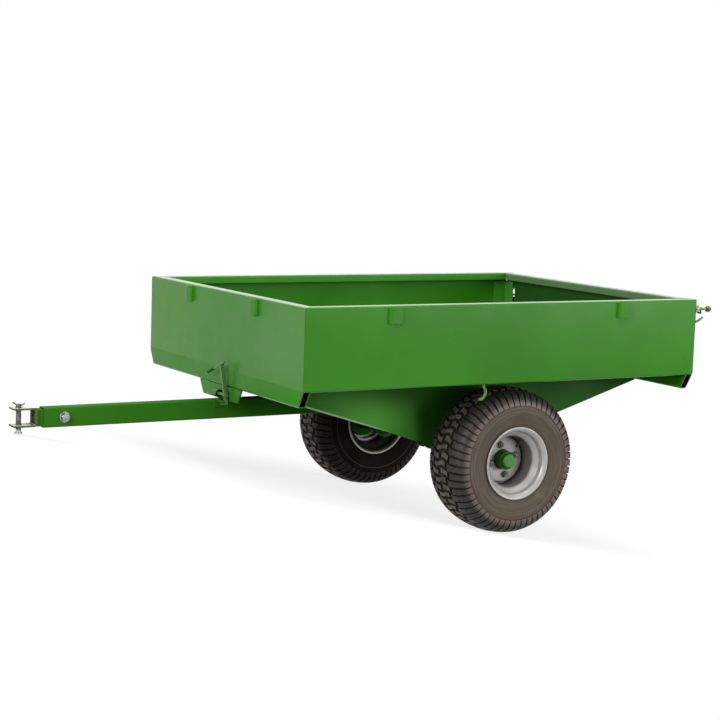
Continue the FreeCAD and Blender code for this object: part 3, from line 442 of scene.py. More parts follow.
def mark_wall(gum, radius, zone, tone, strength):
    """Fine streaks that run round the wall, a paler raised line, and one yellow scuff."""
    around = gum.vector("NORMALIZE", gum.vector("MULTIPLY", gum.place, WHEEL_PLANE))
    rings = gum.node("ShaderNodeCombineXYZ", {"Y": gum.times(radius, 60.0)}).outputs[0]
    polar = gum.vector("ADD", around, rings)
    streak = gum.steps(gum.noise(2.0, 5.0, 0.6, polar), 0.40, 0.68, 0.0, strength)
    tone = gum.blend(gum.times(streak, zone), tone, colour(0.140, 0.110, 0.082))
    from_line = gum.maths("ABSOLUTE", gum.maths("SUBTRACT", radius, WALL_LINE))
    tone = gum.blend(gum.steps(from_line, 0.0004, 0.0022, 0.4, 0.0), tone, colour(0.20, 0.165, 0.135))
    scuff = gum.steps(gum.vector("DISTANCE", gum.place, WALL_SCUFF), 0.004, 0.022, 0.5, 0.0)
    scuff = gum.times(scuff, gum.steps(gum.noise(60.0, 5.0), 0.42, 0.6))
    return gum.blend(scuff, tone, colour(0.21, 0.19, 0.09))


# %% The recipe for rubber
def rubber(name, fresh, worn, dusty, dust_ends, rough, streaks=0.0):
    """Rubber that clouds from fresh to worn, with dust on its outer side inside a radius; the inner side is left
    dark and dull, as painted shade.
    """
    gum = Finish(name)
    radius, across = wheel_radius(gum), gum.axis("Y")
    tone = gum.blend(gum.steps(gum.noise(48.0, 5.0, 0.6), 0.35, 0.7), fresh, worn)
    film = gum.steps(gum.noise(7.0, 6.0, 0.62), 0.3, 0.72)
    # Painted shade: the inner side gets no dust, and below, little shine.
    zone = gum.times(gum.steps(radius, *dust_ends, 1.0, 0.0), gum.steps(across, -0.04, 0.03))
    tone = gum.blend(gum.times(zone, gum.maths("MULTIPLY_ADD", film, 0.35, 0.65)), tone, dusty)
    if streaks:
        tone = mark_wall(gum, radius, zone, tone, streaks)
    return gum.shader(
        Base_Color=tone, Normal=gum.bump(gum.noise(700.0, 3.0), 0.3, 0.0005),
        Specular_IOR_Level=gum.steps(across, -0.07, -0.02, 0.04, 0.3),
        Roughness=gum.steps(film, 0.0, 1.0, *rough))


SOOT, COAL = colour(0.005, 0.004, 0.003), colour(0.010, 0.008, 0.006)
UMBER, PINK_DUST = colour(0.094, 0.071, 0.050), colour(0.190, 0.130, 0.112)
carcass_rubber = rubber(
    "tyre_wall_rubber", SOOT, COAL, UMBER, (0.1780, 0.1830), (0.55, 0.72), streaks=0.5)
groove_rubber = rubber("tyre_groove_rubber", SOOT, COAL, COAL, (0.100, 0.101), (0.6, 0.8))
block_rubber = rubber(
    "tyre_lug_rubber", colour(0.022, 0.019, 0.015), colour(0.044, 0.036, 0.027), PINK_DUST,
    (0.186, 0.203), (0.42, 0.62))
centre_rubber = rubber(
    "tyre_centre_rubber", colour(0.060, 0.048, 0.032), colour(0.165, 0.130, 0.088),
    colour(0.040, 0.033, 0.024), (0.2205, 0.2235), (0.55, 0.7))
valve_rubber = rubber("valve_rubber", SOOT, COAL, COAL, (0.050, 0.051), (0.6, 0.8))

# %% Glossy cap
cap = Finish("glossy_green_cap")
cap_green = cap.shader(
    Base_Color=cap.blend(
        cap.steps(cap.noise(70.0, 4.0), 0.35, 0.65),
        colour(0.050, 0.21, 0.030), colour(0.075, 0.27, 0.045)),
    Roughness=0.3, Specular_IOR_Level=0.3, Coat_Weight=0.15, Coat_Roughness=0.12,
    Normal=cap.bump(cap.noise(300.0, 2.0), 0.12, 0.0004))
print(len(bpy.data.materials), "finishes in all")

# %% [markdown]
# ## Making pieces in mesh code
# Every added piece is built with bmesh in millimetres, then placed by one matrix. Outlines are drawn
# as corners with a rounding each, because a real edge always has a small radius that catches light.

# %% Turn a mesh into a piece
SAME_POINT = 0.0005             # closer than this, in millimetres, two points are one


def piece(name, bm, material, body, crease, place=PARKED, slot=None, replaces=(), origin=None):
    """Turn a bmesh into a shown object that rides on a body of the frame."""
    bmesh.ops.remove_doubles(bm, verts=bm.verts, dist=SAME_POINT)
    bmesh.ops.dissolve_degenerate(bm, edges=bm.edges, dist=SAME_POINT)
    bmesh.ops.recalc_face_normals(bm, faces=bm.faces)
    mesh = bpy.data.meshes.new(name)
    home = origin or Matrix.Identity(4)
    bm.transform(home.inverted() @ place)
    bm.to_mesh(mesh)
    bm.free()
    mesh.polygons.foreach_set("use_smooth", [True] * len(mesh.polygons))
    made = bpy.data.objects.new(name, mesh)
    bpy.context.scene.collection.objects.link(made)
    made.matrix_world = home
    for finish in material if isinstance(material, (list, tuple)) else [material]:
        mesh.materials.append(finish)
    split = made.modifiers.new("crisp_edges", "EDGE_SPLIT")
    split.split_angle = math.radians(crease)
    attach(made, body)
    if replaces:
        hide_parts(*replaces)
    print(name, "has", len(mesh.polygons), "faces")
    return made


# %% Outlines, turned shapes and hexagons
def eased(corners, steps):
    """Closed outline whose corners (across, up, rounding) are eased into short curves."""
    points = []
    for index, (across, up, rounding) in enumerate(corners):
        here = Vector((across, up))
        back = Vector(corners[index - 1][:2]) - here
        ahead = Vector(corners[(index + 1) % len(corners)][:2]) - here
        if rounding == 0:
            points.append(here)
            continue
        reach = rounding / math.tan(back.angle(ahead) / 2)
        reach = min(reach, 0.49 * back.length, 0.49 * ahead.length)
        start, end = here + back.normalized() * reach, here + ahead.normalized() * reach
        for step in range(steps + 1):
            t = step / steps
            points.append((1 - t) ** 2 * start + 2 * t * (1 - t) * here + t * t * end)
    return points


def lathe(outline, segments):
    """New mesh: a closed outline of (across, radius) points turned about the Y axis."""
    bm = bmesh.new()
    turns = [k * math.tau / segments for k in range(segments)]
    rings = []
    for across, up in outline:
        on_axis = up < SAME_POINT       # such a point is one vertex, not a ring of them
        angles = turns[:1] if on_axis else turns
        rings.append([bm.verts.new((up * math.cos(a), across, -up * math.sin(a))) for a in angles])
    for near, far in zip(rings, rings[1:] + rings[:1]):
        for k in range(segments if len(near) + len(far) > 2 else 0):
            corners = [near[k % len(near)], near[(k + 1) % len(near)],
                       far[(k + 1) % len(far)], far[k % len(far)]]
            bm.faces.new(list(dict.fromkeys(corners)))
    return bm


def skin(bm, rings):
    """Close a row of equal rings of vertices into a tube with two ends."""
    count = len(rings[0])
    for near, far in zip(rings, rings[1:]):
        for k in range(count):
            bm.faces.new((near[k], near[(k + 1) % count], far[(k + 1) % count], far[k]))
    bm.faces.new(rings[0][::-1])
    bm.faces.new(rings[-1])


HEX_STEPS = 24                  # points round a hexagon head, four to each flat


def add_hex(bm, half_flats, foot, top, place, turn=0.0):
    """Hexagon head or nut along Y, its outer corners turned off to a cone."""
    corner = half_flats / math.cos(math.pi / 6)
    shoulder = top - math.copysign((corner - half_flats) * 0.8, top - foot)
    rings = []
    for y, six_sided in ((foot, True), (shoulder, True), (top, False)):
        ring = []
        for k in range(HEX_STEPS):
            angle = turn + k * math.tau / HEX_STEPS
            flat = half_flats / math.cos((k % 4 - 2) * math.tau / HEX_STEPS)
            reach = flat if six_sided else half_flats * 0.95
            ring.append(bm.verts.new((reach * math.cos(angle), y, reach * math.sin(angle))))
        rings.append(ring)
    skin(bm, rings)
    bmesh.ops.transform(bm, matrix=place, verts=[vert for ring in rings for vert in ring])


# %% [markdown]
# ## The carried-over CAD pieces
# Sheet, tubes and brackets already have the right shape. They only need smooth shading that still
# breaks at true edges, and a finish. Each node names its own slot in the record, so one small table
# from slot to finish dresses most of them, and a second table names the nodes that look different.

# %% Dress the CAD nodes
FINISHES = {
    "box_paint": box_paint, "frame_paint": frame_paint, "zinc": zinc, "hitch_steel": olive_plate,
    "rim_paint": silver_paint, "tyre": carcass_rubber, "valve_rubber": valve_rubber,
    "cap_green": cap_green,
}
SPECIAL = {
    "hitch_pin": pin_steel, "hitch_pin_clip": dull_zinc, "stub_axles": dull_zinc,
    "clevis_bracket": fork_paint, "latch_pivot_bolt": latch_paint, "latch_lever": latch_paint,
    "rope_hooks": latch_paint, "rear_corner_posts": post_paint, "latch_barrel": channel_paint,
    "front_cross_channel": channel_paint, "rear_cross_channel": channel_paint,
    "left_web_plate": web_paint, "right_web_plate": web_paint, "front_panel": front_paint,
    "tailgate_panel": gate_paint,
}
SEAM_GAP, CRISP = 0.00002, math.radians(28)
for part in frame["record"]["subparts"]:
    node = nodes[part["node"]]
    node.data.materials.clear()
    node.data.materials.append(SPECIAL.get(part["node"], FINISHES[part["material_slot"]]))
    node.data.polygons.foreach_set("use_smooth", [True] * len(node.data.polygons))
    weld = node.modifiers.new("join_seams", "WELD")
    weld.merge_threshold = SEAM_GAP
    split = node.modifiers.new("crisp_edges", "EDGE_SPLIT")
    split.split_angle = CRISP
print(len(nodes), "nodes dressed,", len(SPECIAL), "of them specially")

# %% [markdown]
# ## The wheels' own places
# Both wheels are the same, one of them turned end for end. Their meshes are drawn round the middle of
# the wheel, and the object's origin stays there, so a finish that depends on radius turns with it.

# %% Where each wheel stands
WHEELS = {}
for side, turn in (("left", 0.0), ("right", math.pi)):
    centre = Matrix.Translation(Vector(joints[f"{side}_wheel_spin"]["pos_m"]))
    facing = Matrix.Rotation(turn, 4, "Z")
    WHEELS[side] = (centre @ facing, centre @ Matrix.Rotation(pitch, 4, "Y") @ facing @ MILLIMETRES)
    print(side, "wheel at", [round(value, 4) for value in centre.translation])


def wheel_piece(side, name, bm, material, crease, **facts):
    home, place = WHEELS[side]
    return piece(f"{side}_{name}", bm, material, f"{side}_wheel", crease, place, origin=home, **facts)


# %% [markdown]
# ## The tyre's outline
# A turf tyre has a nearly flat crown, a round shoulder and a bulging wall. Its outline is three arcs.
# Everything on it, tread blocks too, is placed by the distance walked along the outline from the
# middle of the crown and by the depth under it, so one function turns walk and depth into a point.

# %% The three arcs
CROWN_HALF, CROWN_CURVE = 56.0, 282.8
SHOULDER_ARC = ((56.0, 222.9), (97.0, 172.7), 51.2)
WALL_ARC = ((97.0, 172.7), (87.3, 116.0), 170.6)


def arc_points(start, end, radius, count):
    """Points on an arc that bulges to the left of the way from end to start."""
    start, end = Vector(start), Vector(end)
    chord = end - start
    rise = math.sqrt(max(radius ** 2 - (chord.length / 2) ** 2, 0))
    centre = (start + end) / 2 + Vector((chord.y, -chord.x)).normalized() * rise
    first = math.atan2(start.y - centre.y, start.x - centre.x)
    last = math.atan2(end.y - centre.y, end.x - centre.x)
    turns = np.linspace(first, last, count)
    return [centre + radius * Vector((math.cos(a), math.sin(a))) for a in turns]


crown = [Vector((CROWN_CURVE * math.sin(t), WHEEL_RADIUS - CROWN_CURVE * (1 - math.cos(t))))
         for t in np.linspace(0, math.asin(CROWN_HALF / CROWN_CURVE), 60)]
outline = crown + arc_points(*SHOULDER_ARC, 70)[1:] + arc_points(*WALL_ARC, 40)[1:]
walked = np.concatenate([[0], np.cumsum([(b - a).length for a, b in zip(outline, outline[1:])])])
outline_xy = np.array([tuple(point) for point in outline])
WALL_END = float(walked[-1])
print("half outline is", round(WALL_END, 1), "mm long")


# %% Walking along the outline
def outline_at(reach):
    """(across, radius) of the point of the outline that lies this far from the crown's middle."""
    return [np.interp(reach, walked, outline_xy[:, k]) for k in (0, 1)]


def on_tyre(walk, depth=0.0):
    """(across, radius) of a point this far along the outline and this deep; walk is signed."""
    side = -1.0 if walk < 0 else 1.0
    reach = min(abs(walk), WALL_END)
    ahead, behind = outline_at(min(reach + 1, WALL_END)), outline_at(max(reach - 1, 0))
    tangent = Vector((ahead[0] - behind[0], ahead[1] - behind[1])).normalized()
    outward = Vector((-tangent.y, tangent.x)) if reach > 0 else Vector((0, 1))
    point = Vector(outline_at(reach)) - outward * depth
    return side * point.x, point.y


def round_wheel(roll, walk, depth=0.0):
    """Point on the tyre; roll is the distance round the crown, in millimetres."""
    across, radius = on_tyre(walk, depth)
    angle = roll / WHEEL_RADIUS
    return Vector((radius * math.cos(angle), across, radius * math.sin(angle)))


print("the wall ends at", [round(float(value), 1) for value in on_tyre(WALL_END)], "across and up")

# %% [markdown]
# ## Carcass and tread
# The carcass is a plain ring, sunk by the depth of the tread where blocks will stand on it. The blocks
# are strips that follow a wavy centre line: at the middle of the crown a wide one with a waist and a
# split pair take turns, and from there long lugs run over the shoulder and end in a step on the wall.
# Twenty-eight repeats go round the tyre. Real blocks, rather than bump, give the toothed silhouette.

# %% The carcass ring
PITCH_COUNT = 28
PITCH = math.tau * WHEEL_RADIUS / PITCH_COUNT
TREAD_DEPTH, LUG_STEP = 7.5, 2.6        # depth under the crown, and at the lugs' outer ends
SHOULDER_WALK, LUG_END = 84.0, 119.5
WALL_RING, RIM_GUARD = 137.5, 9.0       # raised line, and how far the rim guard is from the bead


def groove_depth(walk):
    """How far the carcass lies below the outline: full depth under the tread, none on the wall."""
    reach = abs(walk)
    if reach < SHOULDER_WALK:
        return TREAD_DEPTH
    if reach < LUG_END:
        down_shoulder = (reach - SHOULDER_WALK) / (LUG_END - SHOULDER_WALK)
        return TREAD_DEPTH - (TREAD_DEPTH - LUG_STEP) * down_shoulder
    fade = min((reach - LUG_END) / 6.0, 1.0)
    return LUG_STEP * (1 - fade) ** 2


def wall_relief(walk):
    """Raised line on the wall, with a shallow rim guard near the bead."""
    reach = abs(walk)
    line = math.exp(-((reach - WALL_RING) / 1.1) ** 2)
    guard = 0.7 * math.exp(-((reach - (WALL_END - RIM_GUARD)) / 3.0) ** 2)
    return line + guard


def carcass_outline():
    """Closed section of the carcass, with its points close together where the relief is fine."""
    walks = []
    for low, high, count in (
            (0, 80, 12), (84, 125, 16), (126.5, 134, 5), (135.0, 140.0, 9), (142.5, WALL_END, 12)):
        walks += list(np.linspace(low, high, count))
    half = [on_tyre(walk, groove_depth(walk) - min(wall_relief(walk), 0.9)) for walk in walks]
    bead = [(86.9, 111.0), (86.2, 106.0), (84.0, 102.6), (72.0, 102.0), (66.0, 104.0)]
    inner = [(79.0, 128.0), (88.0, 166.0), (63.0, 207.0), (36.0, 212.0)]
    right = half + bead + inner
    left = [(-across, radius) for across, radius in reversed(right[1:])]
    return right + left


print("carcass section has", len(carcass_outline()), "points")

# %% The wavy centre line
def smooth(value, low, high):
    t = min(max((value - low) / (high - low), 0.0), 1.0)
    return t * t * (3 - 2 * t)


def wave(walk):
    """Centre line of every row: up and down over the crown, a step back, and a kink on the shoulder."""
    crest = 4.2 * math.sin(math.pi * min(max(walk, -31.0), 31.0) / 31.0)
    reach = abs(walk)
    drop = 9.0 * smooth(reach, 30, 46) + 6.0 * smooth(reach, 66, 100)
    kink = 2.6 * math.exp(-((reach - 70.0) / 5.0) ** 2)
    return crest - math.copysign(drop + kink, walk) if walk else 0.0


print("a lug ends", round(wave(LUG_END), 1), "mm off the block's middle")

# %% One tread block as a strip
GROOVE, LUG_TOP, BLOCK_TOP = 1, 2, 3    # which of the tyre's finishes a face takes
CHAMFER, DRAFT, ROOT = 0.9, 0.9, 0.6    # eased edge, flare of the sides, and depth into the carcass


def strip(bm, half_width, first, last, top_finish, start_roll, flip=1, count=12, waist=0.0):
    """Block along the outline from first to last, narrower at its middle by the waist."""
    body = list(np.linspace(first + 1.7, last - 1.7, count))
    walks = [first, first + 0.7] + body + [last - 0.7, last]
    tops = [1.0, 0.12] + [0.0] * count + [0.12, 1.0]
    rings = []
    for walk, sunk in zip(walks, tops):
        foot = groove_depth(walk) + ROOT
        high = sunk * foot
        edge = min(high + CHAMFER, foot)
        middle = wave(walk)
        from_middle = (2 * walk - first - last) / (last - first)
        half = half_width - waist * (1 - from_middle ** 2)
        rings.append([
            bm.verts.new(round_wheel(flip * (middle + offset) + start_roll, flip * walk, depth))
            for offset, depth in ((-half - DRAFT, foot), (-half, edge), (-half + CHAMFER, high),
                                  (half - CHAMFER, high), (half, edge), (half + DRAFT, foot))])
    dark_ends = (0,) if last == LUG_END else (0, len(rings) - 2)
    for index, (near, far) in enumerate(zip(rings, rings[1:])):
        for k in range(5):
            face = bm.faces.new((near[k], near[k + 1], far[k + 1], far[k]))
            face.material_index = GROOVE if k in (0, 4) or index in dark_ends else top_finish
    for ring in (rings[0], rings[-1]):
        bm.faces.new(ring).material_index = GROOVE


# %% The whole tread
BLOCK, LUG = 8.3, 11.3                  # half widths
BLOCK_WAIST, SPLIT_WAIST, LUG_WAIST = 1.6, 0.8, 1.6


def tread_pitch(bm, roll):
    """One repeat: a wide block and its lugs, then a split pair and its lugs."""
    strip(bm, BLOCK, -28.0, 28.0, BLOCK_TOP, roll, count=15, waist=BLOCK_WAIST)
    half_way = roll + PITCH / 2
    for flip in (1, -1):
        strip(bm, LUG, 36.5, LUG_END, LUG_TOP, roll, flip, count=26, waist=LUG_WAIST)
        strip(bm, BLOCK, 6.2, 39.5, BLOCK_TOP, half_way, flip, waist=SPLIT_WAIST)
        strip(bm, LUG, 47.5, LUG_END, LUG_TOP, half_way, flip, count=24, waist=LUG_WAIST)


for side in WHEELS:
    tyre = lathe(carcass_outline(), PITCH_COUNT * 6)
    for repeat in range(PITCH_COUNT):
        tread_pitch(tyre, repeat * PITCH)
    wheel_piece(side, "turf_tyre", tyre, [carcass_rubber, groove_rubber, block_rubber, centre_rubber],
                crease=38, slot="tyre", replaces=[f"{side}_tyre"])

# %% [markdown]
# ## The rim
# A pressed rim is one turned section: rolled flange, bead seat, slope, deep well, and a disc whose edge
# is rounded over and turned in to meet the well. Turning it on a lathe in code gives the soft rolled
# edges that catch light. Its holes are hidden under the nuts, so the disc needs only the hub's.

# %% Turn the rims
RIM_OUTLINE = [
    (93.5, 113.6, 1.6), (93.5, 109.5, 3.0), (88.0, 102.6, 7.0), (83.0, 98.4, 4.0), (68.0, 97.2, 4.0),
    (54.0, 79.9, 4.0), (-6.6, 79.6, 1.0), (-7.2, 74.8, 1.0), (8.2, 74.4, 8.5), (8.2, 31.2, 0.8),
    (4.2, 31.2, 0.8), (4.2, 70.0, 4.0), (-18.4, 70.6, 1.0), (-19.2, 79.8, 1.0), (-54.0, 79.9, 4.0),
    (-68.0, 97.2, 4.0), (-83.0, 98.4, 4.0), (-88.0, 102.6, 7.0), (-93.5, 109.5, 3.0),
    (-93.5, 113.6, 1.6), (-90.0, 113.9, 1.6), (-87.4, 104.4, 2.0), (-87.4, 101.6, 1.0),
    (-65.6, 100.6, 5.0), (-51.6, 83.0, 5.0), (51.6, 83.0, 5.0), (65.6, 100.6, 5.0),
    (87.4, 101.6, 1.0), (87.4, 104.4, 2.0), (90.0, 113.9, 1.6),
]
for side in WHEELS:
    rim = lathe(eased(RIM_OUTLINE, 5), 120)
    wheel_piece(side, "pressed_rim", rim, silver_paint, crease=50, slot="rim_paint",
                replaces=[f"{side}_rim"])

# %% [markdown]
# ## Hub, cap, nuts and valve
# The hub is a green turned barrel that stands out through the disc, closed by a glossy green cap. Four
# zinc nuts with domed washers hold the disc. The valve is a black rubber stem leaning in from the
# well, thicker at its foot, with a cap.

# %% Hub barrel and cap
HUB_OUTLINE = [
    (-76, 15.1, 0), (-76, 30, 1.5), (-12, 34, 3), (-5, 62, 2), (4, 62, 1), (4, 29, 0.5),
    (36.0, 29, 1.2), (38.0, 27.4, 1.0), (38.0, 23.0, 0.4), (36.5, 22.6, 0.4), (36.5, 0, 0),
    (34.0, 0, 0), (34.0, 15.1, 0),
]
CAP_OUTLINE = [
    (36.6, 0.0, 0), (36.6, 21.8, 0.3), (46.5, 21.8, 1.2), (50.0, 18.6, 1.8), (50.4, 6.0, 3.0),
    (50.0, 0.0, 0),
]
for side in WHEELS:
    barrel = lathe(eased(HUB_OUTLINE, 4), 72)
    wheel_piece(side, "hub_barrel", barrel, hub_paint, crease=40, slot="frame_paint",
                replaces=[f"{side}_hub"])
    knob = lathe(eased(CAP_OUTLINE, 5), 64)
    wheel_piece(side, "grease_cap", knob, cap_green, crease=45, slot="cap_green",
                replaces=[f"{side}_hub_cap"])


# %% Small turned shapes
def turned_peg(bm, outline, place):
    """Small turned shape along Y, put in place by a matrix."""
    single = lathe(outline, 24)
    scratch = bpy.data.meshes.new("scratch")
    single.to_mesh(scratch)
    single.free()
    before = len(bm.verts)
    bm.from_mesh(scratch)
    bpy.data.meshes.remove(scratch)
    bm.verts.ensure_lookup_table()
    bmesh.ops.transform(bm, matrix=place, verts=bm.verts[before:])


def turned_towards(way):
    """Matrix that turns the Y axis towards a direction."""
    return Vector((0, 1, 0)).rotation_difference(way).to_matrix().to_4x4()


# %% Wheel nuts and valves
STUD_COUNT, STUD_CIRCLE, STUD_TURN = 4, 48.0, math.radians(77)
NUT_HALF, NUT_FOOT, NUT_TOP = 9.0, 10.2, 17.8
WASHER = eased([(8.1, 0, 0), (8.1, 11.5, 0.4), (9.6, 11.5, 0.5), (10.6, 8.0, 0.5), (10.6, 0, 0)], 2)
STUD_TIP = eased([(10, 0, 0), (10, 5.6, 0), (20.0, 5.6, 0.9), (21.0, 4.2, 0.5), (21.0, 0, 0)], 2)
VALVE_FOOT, VALVE_TIP = Vector((-42, 47, 68)), Vector((-21, 52, 44))
VALVE_OUTLINE = eased([
    (0, 0, 0), (0, 6.4, 1.0), (6, 5.4, 1.0), (12, 4.2, 1.5), (17, 3.6, 1.0), (18, 4.4, 0.5),
    (29, 4.4, 0.8), (32, 3.4, 0.8), (32.6, 0, 0)], 3)
for side in WHEELS:
    nuts = bmesh.new()
    for index in range(STUD_COUNT):
        angle = STUD_TURN + index * math.tau / STUD_COUNT
        spot = Matrix.Translation((STUD_CIRCLE * math.cos(angle), 0, STUD_CIRCLE * math.sin(angle)))
        turned_peg(nuts, WASHER, spot)
        turned_peg(nuts, STUD_TIP, spot)
        add_hex(nuts, NUT_HALF, NUT_FOOT, NUT_TOP, spot, turn=0.4 + index)
    wheel_piece(side, "wheel_nuts", nuts, dull_zinc, crease=30, slot="zinc",
                replaces=[f"{side}_wheel_bolts"])
    valve = bmesh.new()
    lean = turned_towards((VALVE_TIP - VALVE_FOOT).normalized())
    turned_peg(valve, VALVE_OUTLINE, Matrix.Translation(VALVE_FOOT) @ lean)
    wheel_piece(side, "tyre_valve", valve, valve_rubber, crease=35, slot="valve_rubber",
                replaces=[f"{side}_valve_stem"])

# %% [markdown]
# ## Weld beads
# Brackets and pockets are held by short weld runs. A bead is a string of overlapping ripples, so each
# is a thin tube whose radius swells and shrinks every couple of millimetres, half sunk in the corner
# that it fills. All beads of one body are joined into one piece.

# %% A bead along a seam
RIPPLE, WANDER, BEAD_SIDES = 2.4, 0.35, 8


def bead(bm, start, end, width):
    """Rippled tube from start to end, both in millimetres in the towing pose."""
    start, end = Vector(start), Vector(end)
    run = end - start
    count = max(int(run.length / (RIPPLE / 3)), 6)
    spin = run.to_track_quat("Z", "Y").to_matrix()
    rings = []
    for index in range(count + 1):
        t = index / count
        swell = 0.82 + 0.18 * abs(math.sin(math.pi * t * run.length / RIPPLE))
        taper = min(1.0, 6 * t + 0.25, 6 * (1 - t) + 0.25)
        sway = WANDER * math.sin(t * run.length * 0.37 + start.x + start.y)
        radius = width / 2 * swell * taper
        centre = start + run * t + spin @ Vector((sway, sway * 0.5, 0))
        angles = [k * math.tau / BEAD_SIDES for k in range(BEAD_SIDES)]
        rings.append([
            bm.verts.new(centre + spin @ Vector((radius * math.cos(a), radius * math.sin(a), 0)))
            for a in angles])
    skin(bm, rings)


# %% The bed's beads
BOX_MIDDLE, BOX_HALF, BOX_FRONT, POST_EDGE = 53.0, 536.0, 772.0, -607.0
POCKET_LOW, POCKET_HIGH, POCKET_HALF = 678, 722, 22
SIDE_POCKETS, FRONT_POCKETS = 419, 228  # distance from the middle of the side and of the front
bed_beads = bmesh.new()
for side in (1, -1):
    for end in (1, -1):
        for edge in (1, -1):
            x = BOX_MIDDLE + end * SIDE_POCKETS + edge * POCKET_HALF
            bead(bed_beads, (x, side * BOX_HALF, POCKET_LOW), (x, side * BOX_HALF, POCKET_HIGH), 3.6)
    for edge in (1, -1):
        y = side * FRONT_POCKETS + edge * POCKET_HALF
        bead(bed_beads, (BOX_FRONT, y, POCKET_LOW), (BOX_FRONT, y, POCKET_HIGH), 3.6)
    for step in range(6):               # webs to the load floor
        x = 640 - step * 210
        bead(bed_beads, (x, side * 275, 482), (x - 46, side * 275, 482), 4.2)
    bead(bed_beads, (770.6, side * 130, 434.8), (770.6, side * 75, 434.8), 3.6)
    for y in (270, 250):                # webs to the front channel
        x = BOX_FRONT - 26
        bead(bed_beads, (x, side * y, 481.5), (x, side * (y - 1), 437), 3.6)
    for z in (500, 590, 665):           # corner posts to the side panels
        bead(bed_beads, (POST_EDGE, side * 533.2, z), (POST_EDGE, side * 533.2, z + 26), 3.0)
    bead(bed_beads, (770, side * 533.5, 489), (770, side * 533.5, 700), 2.6)
piece("bed_weld_beads", bed_beads, box_paint, "bed", crease=60, slot="box_paint")

# %% The chassis's beads
chassis_beads = bmesh.new()
for side in (1, -1):                    # along the plates that join drawbar and axle
    bead(chassis_beads, (-52, side * 20, 386), (146, side * 20, 386), 4.0)
    bead(chassis_beads, (146, side * 20, 337), (60, side * 20, 334), 4.0)
for x in (779.6, 803.6):                # both edges of the latch's stud plate
    bead(chassis_beads, (x, 20.5, 373), (x, 20.5, 391), 3.0)
piece("chassis_weld_beads", chassis_beads, frame_paint, "chassis", crease=60, slot="frame_paint")

# %% [markdown]
# ## A filled seam and a painted shade on the handle
# Under the front of the box the fold of the panel lies on the corner of the cross channel. On one side
# of the latch that joint is filled and painted flush, and on the other the filler has sunk, so it shows
# as a fine line. A short near-black sleeve on the latch's handle is painted shade where shade lies on it.

# %% The filled seam
SEAM_BACK, SEAM_END = 771.0, 533.0


def seam_filler(bm, low, high, sunk):
    """Strip along the joint from Y = low to high, its face this far behind the panel's."""
    face = BOX_FRONT - sunk
    section = ((face - 0.2, 474.5), (face, 477.5), (face, 489.0), (face - 0.2, 492.0),
               (SEAM_BACK, 492.0), (SEAM_BACK, 474.5))
    skin(bm, [[bm.verts.new((x, y, z)) for x, z in section] for y in (low, high)])


seam = bmesh.new()
seam_filler(seam, -SEAM_END, 96.0, -0.1)
seam_filler(seam, 96.5, SEAM_END, 0.3)
piece("front_seam_filler", seam, box_paint, "bed", crease=60, slot="box_paint")

# %% The handle's sleeve of painted shade
HANDLE_END, HANDLE_WAY = Vector((798.6, -33.8, 471.9)), Vector((0, 0.932, 0.363))
SLEEVE = eased([(-1.0, 0, 0), (-1.0, 4.2, 1.2), (45.0, 4.2, 0.8), (45.0, 0, 0)], 3)
shade_sleeve = bmesh.new()
turned_peg(shade_sleeve, SLEEVE, Matrix.Translation(HANDLE_END) @ turned_towards(HANDLE_WAY))
piece("latch_handle_shade_sleeve", shade_sleeve, handle_shade_sleeve_paint, "bed", crease=40, slot="frame_paint")

# %% [markdown]
# ## The drawbar's through bolt
# The fork's shank is held inside the drawbar by one big bolt. Its head is the brightest thing on the
# drawbar: a thick hexagon with a turned face over a broad washer, and a nut with some thread beyond it
# on the other side.

# %% The through bolt
BOLT_SPOT = Matrix.Translation((1290, 0, 362))
BOLT_WASHER = eased([(20.0, 0, 0), (20.0, 16.5, 0.8), (23.4, 16.5, 1.0), (23.4, 0, 0)], 3)
FAR_WASHER = [(-across, up) for across, up in BOLT_WASHER]
SHANK = eased([(20, 0, 0), (20, 7.9, 0), (-35.0, 7.9, 1.2), (-36.0, 6.8, 0.5), (-36.0, 0, 0)], 2)
HEAD_FACE = eased([(33.0, 0, 0), (33.0, 8.2, 0), (34.0, 7.6, 0.4), (34.0, 0, 0)], 2)
HEX_HALF, HEX_FOOT = 12.0, 23.4
bolt = bmesh.new()
for outline_of_part in (BOLT_WASHER, FAR_WASHER, SHANK):
    turned_peg(bolt, outline_of_part, BOLT_SPOT)
add_hex(bolt, HEX_HALF, HEX_FOOT, 33.5, BOLT_SPOT, turn=0.35)
turned_peg(bolt, HEAD_FACE, BOLT_SPOT)
add_hex(bolt, HEX_HALF, -HEX_FOOT, -34.0, BOLT_SPOT, turn=0.1)
piece("drawbar_through_bolt", bolt, zinc, "chassis", crease=30, slot="zinc", replaces=["clevis_bolt"])

# %% [markdown]
# ## Floor, light and camera
# The trailer stands on a plain white floor. To a camera ray the floor is mostly white light, with a
# smaller diffuse part that carries the soft shadow, and it fades to the same white as the world, so no
# horizon shows. The lamps keep to a plain level, at which paint renders about as it is written.

# %% The floor's finish
WHITE = colour(1, 1, 1)
FLOOR_GLOW = 0.80
FADE_FROM, FADE_TO = 1.2, 2.6           # metres from the middle of the floor


